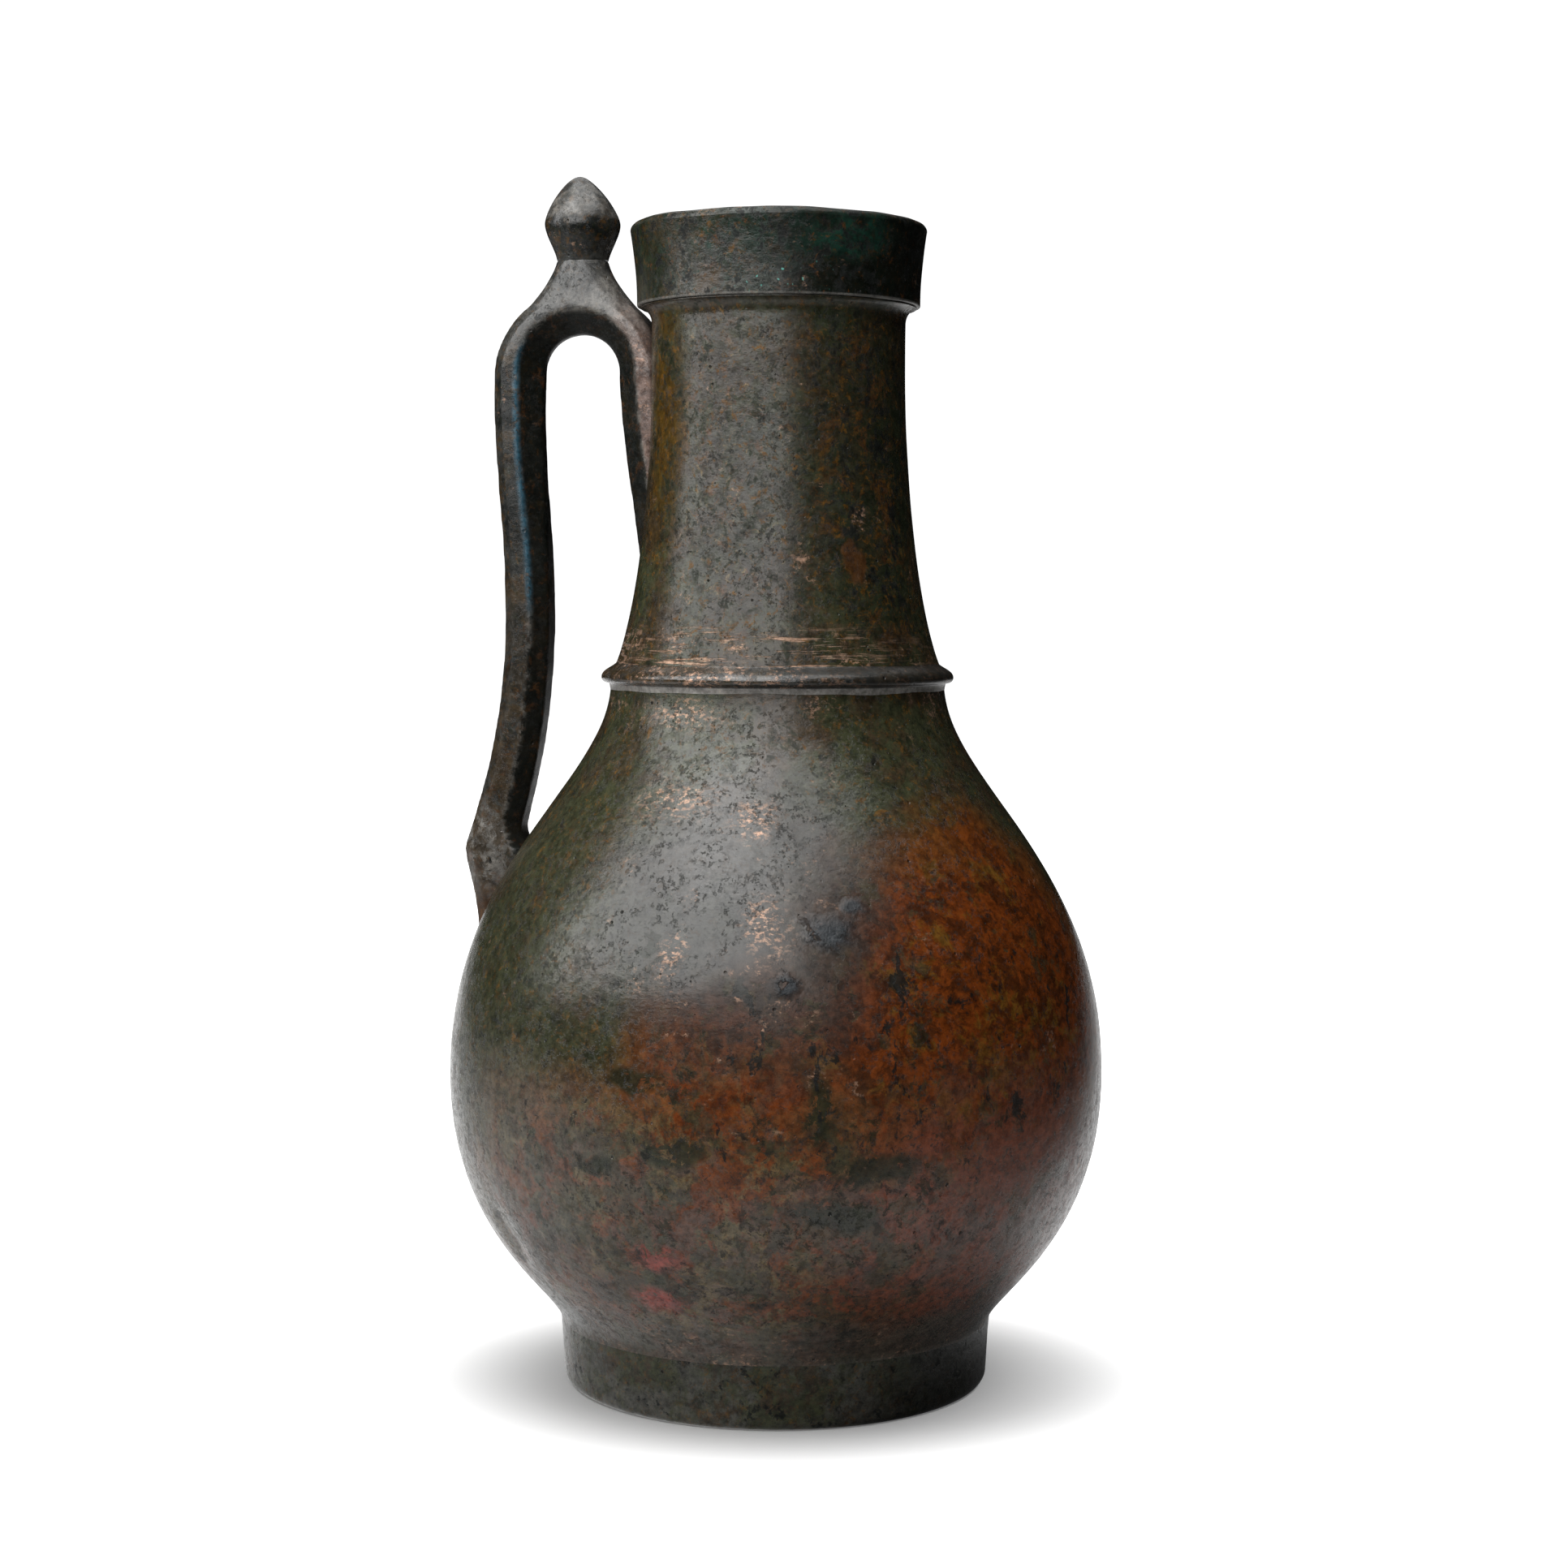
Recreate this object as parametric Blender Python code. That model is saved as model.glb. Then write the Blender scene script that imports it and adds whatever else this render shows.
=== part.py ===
"""Bronze jug: a pear-shaped vessel on a foot ring, with a tall neck, a mouth collar and a looped handle.

Metres, +Z up. The jug's axis is Z, it stands on z = 0 and its handle is on the -X side.
A turned outline is a list of (radius, height) points.
"""

import math

import bmesh
import bpy
from mathutils import Matrix, Vector
from mathutils.geometry import interpolate_bezier

# Walls and clearances
GAP = 0.0003                    # clearance between pieces that meet, filled by solder on the real jug
WALL = 0.0024                   # belly and neck wall
FACETS = 56                     # sides of every large turned piece
SMALL_FACETS = 16               # sides of the finial and the pins
SMOOTH_ANGLE = math.radians(35.0)

# Foot ring and base plate
FOOT_HEIGHT = 0.0157            # ground to the seat of the belly
FOOT_TOP_R = 0.0538
FOOT_TAPER = 0.0008             # how far the foot draws in towards the table
FOOT_EDGE = 0.0026              # rounding of the edge that meets the table
FOOT_SEAT = 0.0030              # width of the seat under the belly's lower edge
FOOT_SPIGOT = 0.0030            # height of the rim that stands up inside the belly
FOOT_SPIGOT_WALL = 0.0017
BASE_LEDGE = 0.0025             # width of the ledge that carries the base plate
BASE_HEIGHT = 0.0088            # ground to that ledge
BASE_THICKNESS = 0.0024

# Belly
BELLY_R = 0.0815
BELLY_HEIGHT = 0.0775           # height of the widest girth
BELLY_FOOT_RISE = 0.0076        # upright start of the wall above the foot
BELLY_FOOT_FLARE = 0.0008
BELLY_LOWER_FULLNESS = 0.0412
BELLY_UPPER_FULLNESS = 0.0537
SHOULDER_FULLNESS = 0.0262
SEAM_R = 0.0413                 # belly and neck meet here, under the neck ring
SEAM_HEIGHT = 0.1760

# Neck and neck ring
NECK_SPIGOT = 0.0060            # length of the neck that enters the belly
NECK_R = 0.03145                # narrowest outer radius
NECK_WAIST_DROP = 0.0142        # shoulder under the collar down to the narrowest place
NECK_FLARE_IN = 0.0051
NECK_FLARE_UP = 0.0115
NECK_FULLNESS = 0.0348
NECK_TOP_HEIGHT = 0.2662        # shoulder under the collar
NECK_TOP_SPREAD = 0.0026        # how far the neck's top spreads under the collar
NECK_TOP_HOLLOW = 0.0036        # height of the hollow moulding that spreads
NECK_TONGUE = 0.0130            # length of the neck that enters the collar
NECK_TONGUE_WALL = 0.0018
RING_BELOW_SEAM = 0.0042
RING_HOLLOW = 0.0025            # height of the hollow under the bead
RING_ROUND = 0.0014             # rounding of the bead's lower edge
RING_SWEEP = 0.0043             # height of the sweep from the bead up to the neck
RING_CREST = 0.0022             # fullness of the bead's upper side
RING_EASE = 0.0017              # height over which the sweep eases into the neck
RING_STAND = 0.0025             # how far the bead stands out from the seam
RING_EDGE = 0.0003              # flat on the ring's upper and lower edge

# Mouth collar
COLLAR_HEIGHT = 0.0209
COLLAR_R = 0.0350
COLLAR_EDGE = 0.0006            # rounding of the lower edge
LIP_R = 0.03665
LIP_EDGE = 0.0020               # rounding of the outer lip
LIP_WIDTH = 0.0050
COLLAR_RISE = 0.0090            # upright run of the collar's side before it flares

# Handle bar
LIP_CLEARANCE = 0.0038          # room between the lip and the finial
COLLAR_CLEARANCE = 0.0006       # room between the collar and the arch below it
BAR_DEPTH = 0.0112              # from the finger side to the outer side
BAR_WIDTH = 0.0140
INNER_BEVEL = 0.0058            # on the finger side
OUTER_BEVEL = 0.0030
ARM_DEPTH = 0.0078              # how far the arm stands out from the neck
ARM_LENGTH = 0.0440             # arch to the arm's lower tip
ARM_TIP_PROUD = 0.0010
ARM_TIP_WIDTH = 0.0090
GRIP_WAIST_HEIGHT = 0.1900
GRIP_SET_IN = 0.0028            # how far the grip's waist lies inside the arch's outer leg
GRIP_FULLNESS = 0.0250
BAR_SWELL = 0.0012              # how much the bar thickens towards the arch and the knee
KNEE_HEIGHT = 0.1310
KNEE_STAND = 0.0150             # how far the knee stands out from the belly
KNEE_LEAN = math.radians(20.0)
KNEE_FULLNESS = 0.0150
TOE_RISE = 0.0090               # height over which the bar thickens towards the belly
TOE_DEPTH = 0.0060
TAIL_LENGTH = 0.0222
TAIL_PROUD = 0.0010
TAIL_WIDTH = 0.0100
TAIL_EASE = 1.4                 # how fast the tail thins out

# Crown of the handle and its finial
CROWN_RISE = 0.0065             # arch to the finial's seat
CROWN_EASE = 1.45
CROWN_SQUARENESS = 0.6          # section at the crown's foot: 1 is an oval, less is squarer
FINIAL_WAIST_R = 0.0064
FINIAL_R = 0.0097
FINIAL_SHOULDER = 0.0095        # seat to the widest girth
FINIAL_TIP = 0.0118             # widest girth to the tip
FINIAL_HOLLOW = 0.0032
FINIAL_LEAN = 0.0017            # how far the bud's upper side leans in from the girth
FINIAL_FULLNESS = 0.0026
FINIAL_TIP_R = 0.0036           # how blunt the tip is
TENON_R = 0.0034
TENON_LENGTH = 0.0080

# Pins that hold the handle to the walls
PIN_R = 0.0018
PIN_HEAD_R = 0.0034
PIN_HEAD = 0.0014
PIN_BITE = 0.0045               # length inside the handle
NECK_PIN_RISE = 0.0020          # upper neck pin above the arch's spring
NECK_PIN_SPACING = 0.0200
BELLY_PIN_DROP = 0.0020         # upper belly pin below the knee
BELLY_PIN_SPACING = 0.0085

# Points along each curve
CURVE_STEPS = 8
LONG_CURVE_STEPS = 12
EDGE_STEPS = 3
ARCH_STEPS = 12
QUARTER_ROUND = 0.55            # handle length that makes a Bezier a quarter round

# Sizes that follow from those above
FOOT_BOTTOM_R = FOOT_TOP_R - FOOT_TAPER
NECK_WAIST_HEIGHT = NECK_TOP_HEIGHT - NECK_WAIST_DROP


def curve(start, start_handle, end_handle, end, steps):
    """Return points along one Bezier curve."""
    return interpolate_bezier(Vector(start), Vector(start_handle), Vector(end_handle), Vector(end), steps + 1)


def rounded(centre, radius, start, end):
    """Return points along an arc, from the start angle to the end angle in degrees."""
    angles = [math.radians(start + (end - start) * i / EDGE_STEPS) for i in range(EDGE_STEPS + 1)]
    return [Vector((centre[0] + radius * math.cos(a), centre[1] + radius * math.sin(a))) for a in angles]


def normals(outline):
    """Return the outward normal at each point of an outline that runs upwards."""
    result = []
    for i in range(len(outline)):
        step = outline[min(i + 1, len(outline) - 1)] - outline[max(i - 1, 0)]
        result.append(Vector((step.y, -step.x)).normalized())
    return result


def offset(outline, distance):
    """Move an outline along its normals, outwards for a positive distance."""
    return [point + normal * distance for point, normal in zip(outline, normals(outline))]


def at_height(outline, height):
    """Return the outline's radius and its outward normal at a height."""
    pairs = list(zip(outline, normals(outline)))
    for (low, low_normal), (high, high_normal) in zip(pairs, pairs[1:]):
        if height <= high.y:
            break
    share = (height - low.y) / (high.y - low.y)
    return low.x + (high.x - low.x) * share, low_normal.lerp(high_normal, share).normalized()


def belly_outline():
    """Return the belly's outer outline, from the foot to the seam."""
    foot = (FOOT_TOP_R, FOOT_HEIGHT + GAP)
    foot_handle = (FOOT_TOP_R + BELLY_FOOT_FLARE, FOOT_HEIGHT + GAP + BELLY_FOOT_RISE)
    girth = (BELLY_R, BELLY_HEIGHT)
    lower = curve(foot, foot_handle, (BELLY_R, BELLY_HEIGHT - BELLY_LOWER_FULLNESS), girth, CURVE_STEPS)
    upper = curve(girth, (BELLY_R, BELLY_HEIGHT + BELLY_UPPER_FULLNESS),
                  (SEAM_R, SEAM_HEIGHT - SHOULDER_FULLNESS), (SEAM_R, SEAM_HEIGHT), LONG_CURVE_STEPS)
    return lower + upper[1:]


def neck_outline():
    """Return the neck's outer outline, from the seam to the shoulder under the collar."""
    foot = (SEAM_R, SEAM_HEIGHT + GAP)
    foot_handle = (SEAM_R - NECK_FLARE_IN, SEAM_HEIGHT + GAP + NECK_FLARE_UP)
    waist = (NECK_R, NECK_WAIST_HEIGHT)
    rise = curve(foot, foot_handle, (NECK_R, NECK_WAIST_HEIGHT - NECK_FULLNESS), waist, CURVE_STEPS)
    top_r = NECK_R + NECK_TOP_SPREAD
    hollow = NECK_TOP_HEIGHT - NECK_TOP_HOLLOW
    hollow_handle = (NECK_R, hollow + NECK_TOP_HOLLOW * QUARTER_ROUND)
    top_handle = (top_r - NECK_TOP_SPREAD * QUARTER_ROUND, NECK_TOP_HEIGHT)
    return rise + curve((NECK_R, hollow), hollow_handle, top_handle, (top_r, NECK_TOP_HEIGHT), EDGE_STEPS + 1)


BELLY = belly_outline()
NECK = neck_outline()
BORE_R = NECK_R - WALL
TONGUE_R = BORE_R + NECK_TONGUE_WALL
COLLAR_BOTTOM = NECK_TOP_HEIGHT + GAP
SPIGOT_R = FOOT_TOP_R - FOOT_SEAT - GAP
BASE_R = SPIGOT_R - FOOT_SPIGOT_WALL - GAP

# The arch springs from the neck, passes under the collar and carries the finial beside the lip
ARCH_X = LIP_R + LIP_CLEARANCE + FINIAL_R
ARCH_INNER_R = ARCH_X - NECK_R - ARM_DEPTH
ARCH_MID_R = ARCH_INNER_R + BAR_DEPTH / 2
ARCH_OUTER_R = ARCH_INNER_R + BAR_DEPTH
CROWN_HALF = ARCH_X - COLLAR_R - COLLAR_CLEARANCE
CROWN_FOOT_RISE = math.sqrt(ARCH_OUTER_R ** 2 - CROWN_HALF ** 2)
ARCH_HEIGHT = COLLAR_BOTTOM - CROWN_FOOT_RISE
FINIAL_SEAT = ARCH_HEIGHT + ARCH_OUTER_R + CROWN_RISE


def clear_scene():
    """Remove every object that is in the file."""
    for item in list(bpy.data.objects):
        bpy.data.objects.remove(item, do_unlink=True)


def bronze(name, colour, roughness):
    """Return a patinated bronze finish."""
    finish = bpy.data.materials.new(name + "_bronze")
    finish.use_nodes = True
    shader = finish.node_tree.nodes["Principled BSDF"]
    shader.inputs["Base Color"].default_value = (*colour, 1.0)
    shader.inputs["Metallic"].default_value = 0.35
    shader.inputs["Roughness"].default_value = roughness
    return finish


def add_object(name, bm, colour=None, roughness=0.4):
    """Turn a bmesh into an object. Without a colour it is a hidden cutter."""
    bmesh.ops.remove_doubles(bm, verts=bm.verts, dist=GAP / 1000)
    bmesh.ops.recalc_face_normals(bm, faces=bm.faces)
    mesh = bpy.data.meshes.new(name)
    bm.to_mesh(mesh)
    bm.free()
    item = bpy.data.objects.new(name, mesh)
    bpy.context.collection.objects.link(item)
    if colour is None:
        item.hide_render = True
        item.display_type = "WIRE"
        return item
    mesh.materials.append(bronze(name, colour, roughness))
    mesh.shade_smooth()
    mesh.set_sharp_from_angle(angle=SMOOTH_ANGLE)
    item.parent = bpy.data.objects["jug_axis"]
    return item


def turned(outline, closed, facets):
    """Spin an outline around Z. A closed outline is a ring, an open one starts and ends on the axis."""
    bm = bmesh.new()
    points = [bm.verts.new((point[0], 0.0, point[1])) for point in outline]
    edges = [bm.edges.new(pair) for pair in zip(points, points[1:])]
    if closed:
        edges.append(bm.edges.new((points[-1], points[0])))
    bmesh.ops.spin(bm, geom=points + edges, cent=(0.0, 0.0, 0.0), axis=(0.0, 0.0, 1.0),
                   angle=math.tau, steps=facets, use_merge=True)
    return bm


def lofted(rings):
    """Join a row of like rings into one closed skin."""
    bm = bmesh.new()
    loops = []
    for ring in rings:
        points = [bm.verts.new(point) for point in ring]
        loops.append([bm.edges.new((points[i - 1], points[i])) for i in range(len(points))])
    for first, second in zip(loops, loops[1:]):
        bmesh.ops.bridge_loops(bm, edges=first + second)
    for loop in (loops[0], loops[-1]):
        bmesh.ops.edgeloop_fill(bm, edges=loop)
    return bm


def combine(item, other, operation):
    """Add an exact Boolean to an object."""
    step = item.modifiers.new(operation.lower() + "_" + other.name, "BOOLEAN")
    step.object = other
    step.operation = operation
    step.solver = "EXACT"


def make_foot_ring():
    """Build the foot ring: rounded lower edge, seat and spigot for the belly, ledge for the base plate."""
    socket_r = BASE_R + GAP
    spigot_top = FOOT_HEIGHT + FOOT_SPIGOT
    outline = [(BASE_R - BASE_LEDGE, 0.0)]
    outline += rounded((FOOT_BOTTOM_R - FOOT_EDGE, FOOT_EDGE), FOOT_EDGE, -90.0, 0.0)
    outline += [(FOOT_TOP_R, FOOT_HEIGHT), (SPIGOT_R, FOOT_HEIGHT), (SPIGOT_R, spigot_top)]
    outline += [(socket_r, spigot_top), (socket_r, BASE_HEIGHT), (BASE_R - BASE_LEDGE, BASE_HEIGHT)]
    return add_object("foot_ring", turned(outline, True, FACETS), (0.045, 0.043, 0.036), 0.42)


def make_base_plate():
    """Build the round plate that closes the vessel inside the foot ring."""
    low = BASE_HEIGHT + GAP
    high = low + BASE_THICKNESS
    outline = [(0.0, low), (BASE_R, low), (BASE_R, high), (0.0, high)]
    return add_object("base_plate", turned(outline, False, FACETS), (0.05, 0.042, 0.03), 0.5)


def make_belly_shell():
    """Build the belly wall, open at the seam and at the foot."""
    inner = offset(BELLY, -WALL)
    seat_r = FOOT_TOP_R - FOOT_SEAT
    inner[0] = Vector((seat_r, BELLY[0].y))
    inner[-1] = Vector((SEAM_R - WALL, SEAM_HEIGHT))
    outline = BELLY + inner[::-1]
    return add_object("belly_shell", turned(outline, True, FACETS), (0.085, 0.047, 0.024), 0.36)


def make_neck_tube():
    """Build the neck wall, with a spigot that enters the belly and a tongue that enters the collar."""
    spigot_r = SEAM_R - WALL - GAP
    spigot_end = SEAM_HEIGHT - NECK_SPIGOT
    tongue_top = NECK_TOP_HEIGHT + NECK_TONGUE
    inner = [point for point in offset(NECK, -WALL) if point.y < NECK_WAIST_HEIGHT and point.x < spigot_r - WALL]
    outline = [(spigot_r, spigot_end), (spigot_r, SEAM_HEIGHT + GAP)] + NECK
    outline += [(TONGUE_R, NECK_TOP_HEIGHT), (TONGUE_R, tongue_top), (BORE_R, tongue_top)]
    outline += [(BORE_R, NECK_WAIST_HEIGHT)] + inner[::-1] + [(spigot_r - WALL, spigot_end)]
    return add_object("neck_tube", turned(outline, True, FACETS), (0.075, 0.06, 0.036), 0.36)


def make_neck_ring():
    """Build the ring over the seam: a hollow, a round bead and a sweep up to the neck."""
    low = SEAM_HEIGHT - RING_BELOW_SEAM
    bead_low = low + RING_HOLLOW
    bead_mid = bead_low + RING_ROUND
    high = bead_mid + RING_SWEEP
    bead_r = SEAM_R + RING_STAND
    low_bore = at_height(BELLY, low)[0] + GAP
    high_bore = at_height(NECK, high)[0] + GAP
    low_r = low_bore + RING_EDGE
    high_r = high_bore + RING_EDGE
    corner = (low_r, bead_low)
    outline = [(low_bore, low)] + curve((low_r, low), corner, corner, (bead_r - RING_ROUND, bead_low), EDGE_STEPS + 1)
    outline += rounded((bead_r - RING_ROUND, bead_mid), RING_ROUND, -90.0, 0.0)[1:]
    outline += curve((bead_r, bead_mid), (bead_r, bead_mid + RING_CREST), (high_r + RING_EDGE, high - RING_EASE),
                     (high_r, high), CURVE_STEPS)[1:]
    outline += [(high_bore, high), (low_bore, SEAM_HEIGHT + GAP)]
    return add_object("neck_ring", turned(outline, True, FACETS), (0.06, 0.05, 0.036), 0.38)


def make_mouth_collar():
    """Build the flared collar that is socketed over the neck and ends in the lip."""
    lip = COLLAR_BOTTOM + COLLAR_HEIGHT
    socket_r = TONGUE_R + GAP
    socket_top = NECK_TOP_HEIGHT + NECK_TONGUE + GAP
    side_low = (COLLAR_R, COLLAR_BOTTOM + COLLAR_EDGE)
    side_high = (LIP_R, lip - LIP_EDGE)
    outline = [(socket_r, COLLAR_BOTTOM)]
    outline += rounded((COLLAR_R - COLLAR_EDGE, COLLAR_BOTTOM + COLLAR_EDGE), COLLAR_EDGE, -90.0, 0.0)
    outline += curve(side_low, (COLLAR_R, side_low[1] + COLLAR_RISE), side_high, side_high, CURVE_STEPS)[1:]
    outline += rounded((LIP_R - LIP_EDGE, lip - LIP_EDGE), LIP_EDGE, 0.0, 90.0)[1:]
    outline += [(LIP_R - LIP_WIDTH, lip), (BORE_R, socket_top + WALL), (BORE_R, socket_top), (socket_r, socket_top)]
    return add_object("mouth_collar", turned(outline, True, FACETS), (0.035, 0.042, 0.034), 0.4)


def arm_path():
    """Return the bar's centre line from the arm's tip on the neck up to the arch."""
    points = []
    for i in range(CURVE_STEPS):
        share = i / CURVE_STEPS
        height = ARCH_HEIGHT - ARM_LENGTH * (1.0 - share)
        stand = ARM_TIP_PROUD + (ARM_DEPTH - ARM_TIP_PROUD) * math.sin(share * math.pi / 2)
        points.append(Vector((at_height(NECK, height)[0] + stand - BAR_DEPTH / 2, height)))
    return points


def arch_path():
    """Return the centre line of the half-round arch."""
    angles = [math.pi * (1.0 - i / ARCH_STEPS) for i in range(ARCH_STEPS + 1)]
    return [Vector((ARCH_X + ARCH_MID_R * math.cos(a), ARCH_HEIGHT + ARCH_MID_R * math.sin(a))) for a in angles]


def tail_path():
    """Return the centre line from the knee down the belly to the tail's end."""
    points = []
    for i in range(CURVE_STEPS + 1):
        share = i / CURVE_STEPS
        height = KNEE_HEIGHT - TAIL_LENGTH * share
        stand = TAIL_PROUD + (KNEE_STAND - TAIL_PROUD) * (1.0 - share) ** TAIL_EASE
        points.append(Vector((at_height(BELLY, height)[0] + stand - BAR_DEPTH / 2, height)))
    return points


def grip_path(knee):
    """Return the centre line of the grip, from the arch's outer leg in to its waist and out to the knee."""
    top = Vector((ARCH_X + ARCH_MID_R, ARCH_HEIGHT))
    waist = Vector((top.x - GRIP_SET_IN, GRIP_WAIST_HEIGHT))
    bend = Vector((0.0, GRIP_FULLNESS))
    lean = Vector((-math.sin(KNEE_LEAN), math.cos(KNEE_LEAN))) * KNEE_FULLNESS
    upper = curve(top, top - bend, waist + bend, waist, CURVE_STEPS)
    lower = curve(waist, waist - bend, knee + lean, knee, LONG_CURVE_STEPS)
    return upper[1:] + lower[1:-1]


def bar_section(centre, outward, inner_depth, width):
    """Return the eight corners of the bar's section at one point of its centre line."""
    outer_depth = BAR_DEPTH / 2
    scale = width / BAR_WIDTH
    half = width / 2
    inner_half = half - INNER_BEVEL * scale
    outer_half = half - OUTER_BEVEL * scale
    corners = [(outer_depth, outer_half), (outer_depth - OUTER_BEVEL, half),
               (INNER_BEVEL - inner_depth, half), (-inner_depth, inner_half)]
    corners += [(depth, -side) for depth, side in corners[::-1]]
    ring = []
    for depth, side in corners:
        place = centre + outward * depth
        ring.append((-place.x, side, place.y))
    return ring


def handle_rings():
    """Return the bar's sections from the arm's tip to the tail's end."""
    tail = tail_path()
    arm, arch = arm_path(), arch_path()
    path = arm + arch + grip_path(tail[0]) + tail
    rings = []
    for i, centre in enumerate(path):
        along = path[min(i + 1, len(path) - 1)] - path[max(i - 1, 0)]
        outward = Vector((-along.y, along.x)).normalized()
        width = BAR_WIDTH
        if i < len(arm):
            swell = (i / len(arm)) ** 2
            width = ARM_TIP_WIDTH + (BAR_WIDTH - ARM_TIP_WIDTH) * i / len(arm)
        elif i < len(arm) + len(arch):
            swell = 1.0 - (centre.y - ARCH_HEIGHT) / ARCH_MID_R
        else:
            swell = min(((centre.y - GRIP_WAIST_HEIGHT) / (ARCH_HEIGHT - GRIP_WAIST_HEIGHT)) ** 2, 1.0)
        inner_depth = BAR_DEPTH / 2 + BAR_SWELL * swell
        if i >= len(arm) + len(arch):
            share = min(max((KNEE_HEIGHT + TOE_RISE - centre.y) / TOE_RISE, 0.0), 1.0)
            inner_depth += TOE_DEPTH * share * share * (3.0 - 2.0 * share)
            past_knee = max((KNEE_HEIGHT - centre.y) / TAIL_LENGTH, 0.0)
            width += (TAIL_WIDTH - BAR_WIDTH) * past_knee
        rings.append(bar_section(centre, outward, inner_depth, width))
    return rings


def crown_rings():
    """Return the flare that rises from the arch to the finial's seat."""
    foot = ARCH_HEIGHT + CROWN_FOOT_RISE
    rings = []
    for i in range(CURVE_STEPS + 1):
        share = i / CURVE_STEPS
        half_length = FINIAL_WAIST_R + (CROWN_HALF - FINIAL_WAIST_R) * (1.0 - share) ** CROWN_EASE
        half_width = BAR_WIDTH / 2 + (FINIAL_WAIST_R - BAR_WIDTH / 2) * share
        height = foot + (FINIAL_SEAT - foot) * share
        power = CROWN_SQUARENESS + (1.0 - CROWN_SQUARENESS) * share
        ring = []
        for k in range(SMALL_FACETS):
            angle = math.tau * (k + 0.5) / SMALL_FACETS
            along = math.copysign(abs(math.cos(angle)) ** power, math.cos(angle))
            across = math.copysign(abs(math.sin(angle)) ** power, math.sin(angle))
            ring.append((half_length * along - ARCH_X, half_width * across, height))
        rings.append(ring)
    return rings


def make_handle_bar():
    """Build the looped bar with its crown, cut to lie on the neck and the belly."""
    bar = add_object("handle_bar", lofted(handle_rings()), (0.055, 0.05, 0.045), 0.38)
    crown = add_object("crown_form", lofted(crown_rings()))
    combine(bar, crown, "UNION")
    skin = offset(BELLY, GAP) + offset(NECK, GAP)
    core = [(0.0, skin[0].y)] + skin + [(0.0, skin[-1].y)]
    combine(bar, add_object("vessel_form", turned(core, False, FACETS)), "DIFFERENCE")
    low, high = FINIAL_SEAT - TENON_LENGTH - GAP, FINIAL_SEAT + TENON_LENGTH
    hole = [(0.0, low), (TENON_R + GAP, low), (TENON_R + GAP, high), (0.0, high)]
    socket = add_object("finial_socket_form", turned(hole, False, SMALL_FACETS))
    socket.location.x = -ARCH_X
    combine(bar, socket, "DIFFERENCE")
    return bar


def make_finial():
    """Build the bud on the crown, with the tenon that holds it."""
    seat = FINIAL_SEAT + GAP
    girth = (FINIAL_R, seat + FINIAL_SHOULDER)
    tip = (0.0, girth[1] + FINIAL_TIP)
    outline = [(0.0, FINIAL_SEAT - TENON_LENGTH), (TENON_R, FINIAL_SEAT - TENON_LENGTH), (TENON_R, seat)]
    outline += curve((FINIAL_WAIST_R, seat), (FINIAL_WAIST_R, seat + FINIAL_HOLLOW),
                     (FINIAL_R, girth[1] - FINIAL_HOLLOW), girth, CURVE_STEPS)
    upper_handle = (FINIAL_R - FINIAL_LEAN, girth[1] + FINIAL_FULLNESS)
    outline += curve(girth, upper_handle, (FINIAL_TIP_R, tip[1]), tip, CURVE_STEPS)[1:]
    finial = add_object("handle_finial", turned(outline, False, SMALL_FACETS), (0.07, 0.065, 0.058), 0.36)
    finial.location.x = -ARCH_X
    return finial


def make_pin(name, wall, outline, height, handle):
    """Build one pin through a wall into the handle, and cut its holes."""
    radius, normal = at_height(outline, height)
    head_seat = GAP + PIN_HEAD_R ** 2 / (2.0 * (radius - WALL))
    under_head = -(WALL + head_seat)
    head_top = under_head - PIN_HEAD
    shape = [(0.0, head_top), (PIN_HEAD_R - PIN_HEAD / 2, head_top), (PIN_HEAD_R, under_head - PIN_HEAD / 2)]
    shape += [(PIN_HEAD_R, under_head), (PIN_R, under_head), (PIN_R, PIN_BITE), (0.0, PIN_BITE)]
    hole_r = PIN_R + GAP
    hole_end = PIN_BITE + GAP
    hole = [(0.0, head_top), (hole_r, head_top), (hole_r, hole_end), (0.0, hole_end)]
    pin = add_object(name, turned(shape, False, SMALL_FACETS), (0.09, 0.06, 0.035), 0.45)
    bore = add_object(name + "_hole_form", turned(hole, False, SMALL_FACETS))
    direction = Vector((-normal.x, 0.0, normal.y))
    place = Matrix.Translation((-radius, 0.0, height)) @ direction.to_track_quat("Z", "Y").to_matrix().to_4x4()
    pin.matrix_world = place
    bore.matrix_world = place
    combine(wall, bore, "DIFFERENCE")
    combine(handle, bore, "DIFFERENCE")


def build_jug():
    """Build every piece of the jug."""
    clear_scene()
    axis = bpy.data.objects.new("jug_axis", None)
    bpy.context.collection.objects.link(axis)
    make_foot_ring()
    make_base_plate()
    belly = make_belly_shell()
    neck = make_neck_tube()
    make_neck_ring()
    make_mouth_collar()
    handle = make_handle_bar()
    make_finial()
    upper_neck_pin = ARCH_HEIGHT + NECK_PIN_RISE
    upper_belly_pin = KNEE_HEIGHT - BELLY_PIN_DROP
    make_pin("neck_pin_upper", neck, NECK, upper_neck_pin, handle)
    make_pin("neck_pin_lower", neck, NECK, upper_neck_pin - NECK_PIN_SPACING, handle)
    make_pin("belly_pin_upper", belly, BELLY, upper_belly_pin, handle)
    make_pin("belly_pin_lower", belly, BELLY, upper_belly_pin - BELLY_PIN_SPACING, handle)


build_jug()
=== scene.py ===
import math

import bmesh
import bpy
from mathutils import Matrix, Vector, noise
from mathutils.kdtree import KDTree
from mathutils.geometry import interpolate_bezier


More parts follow.
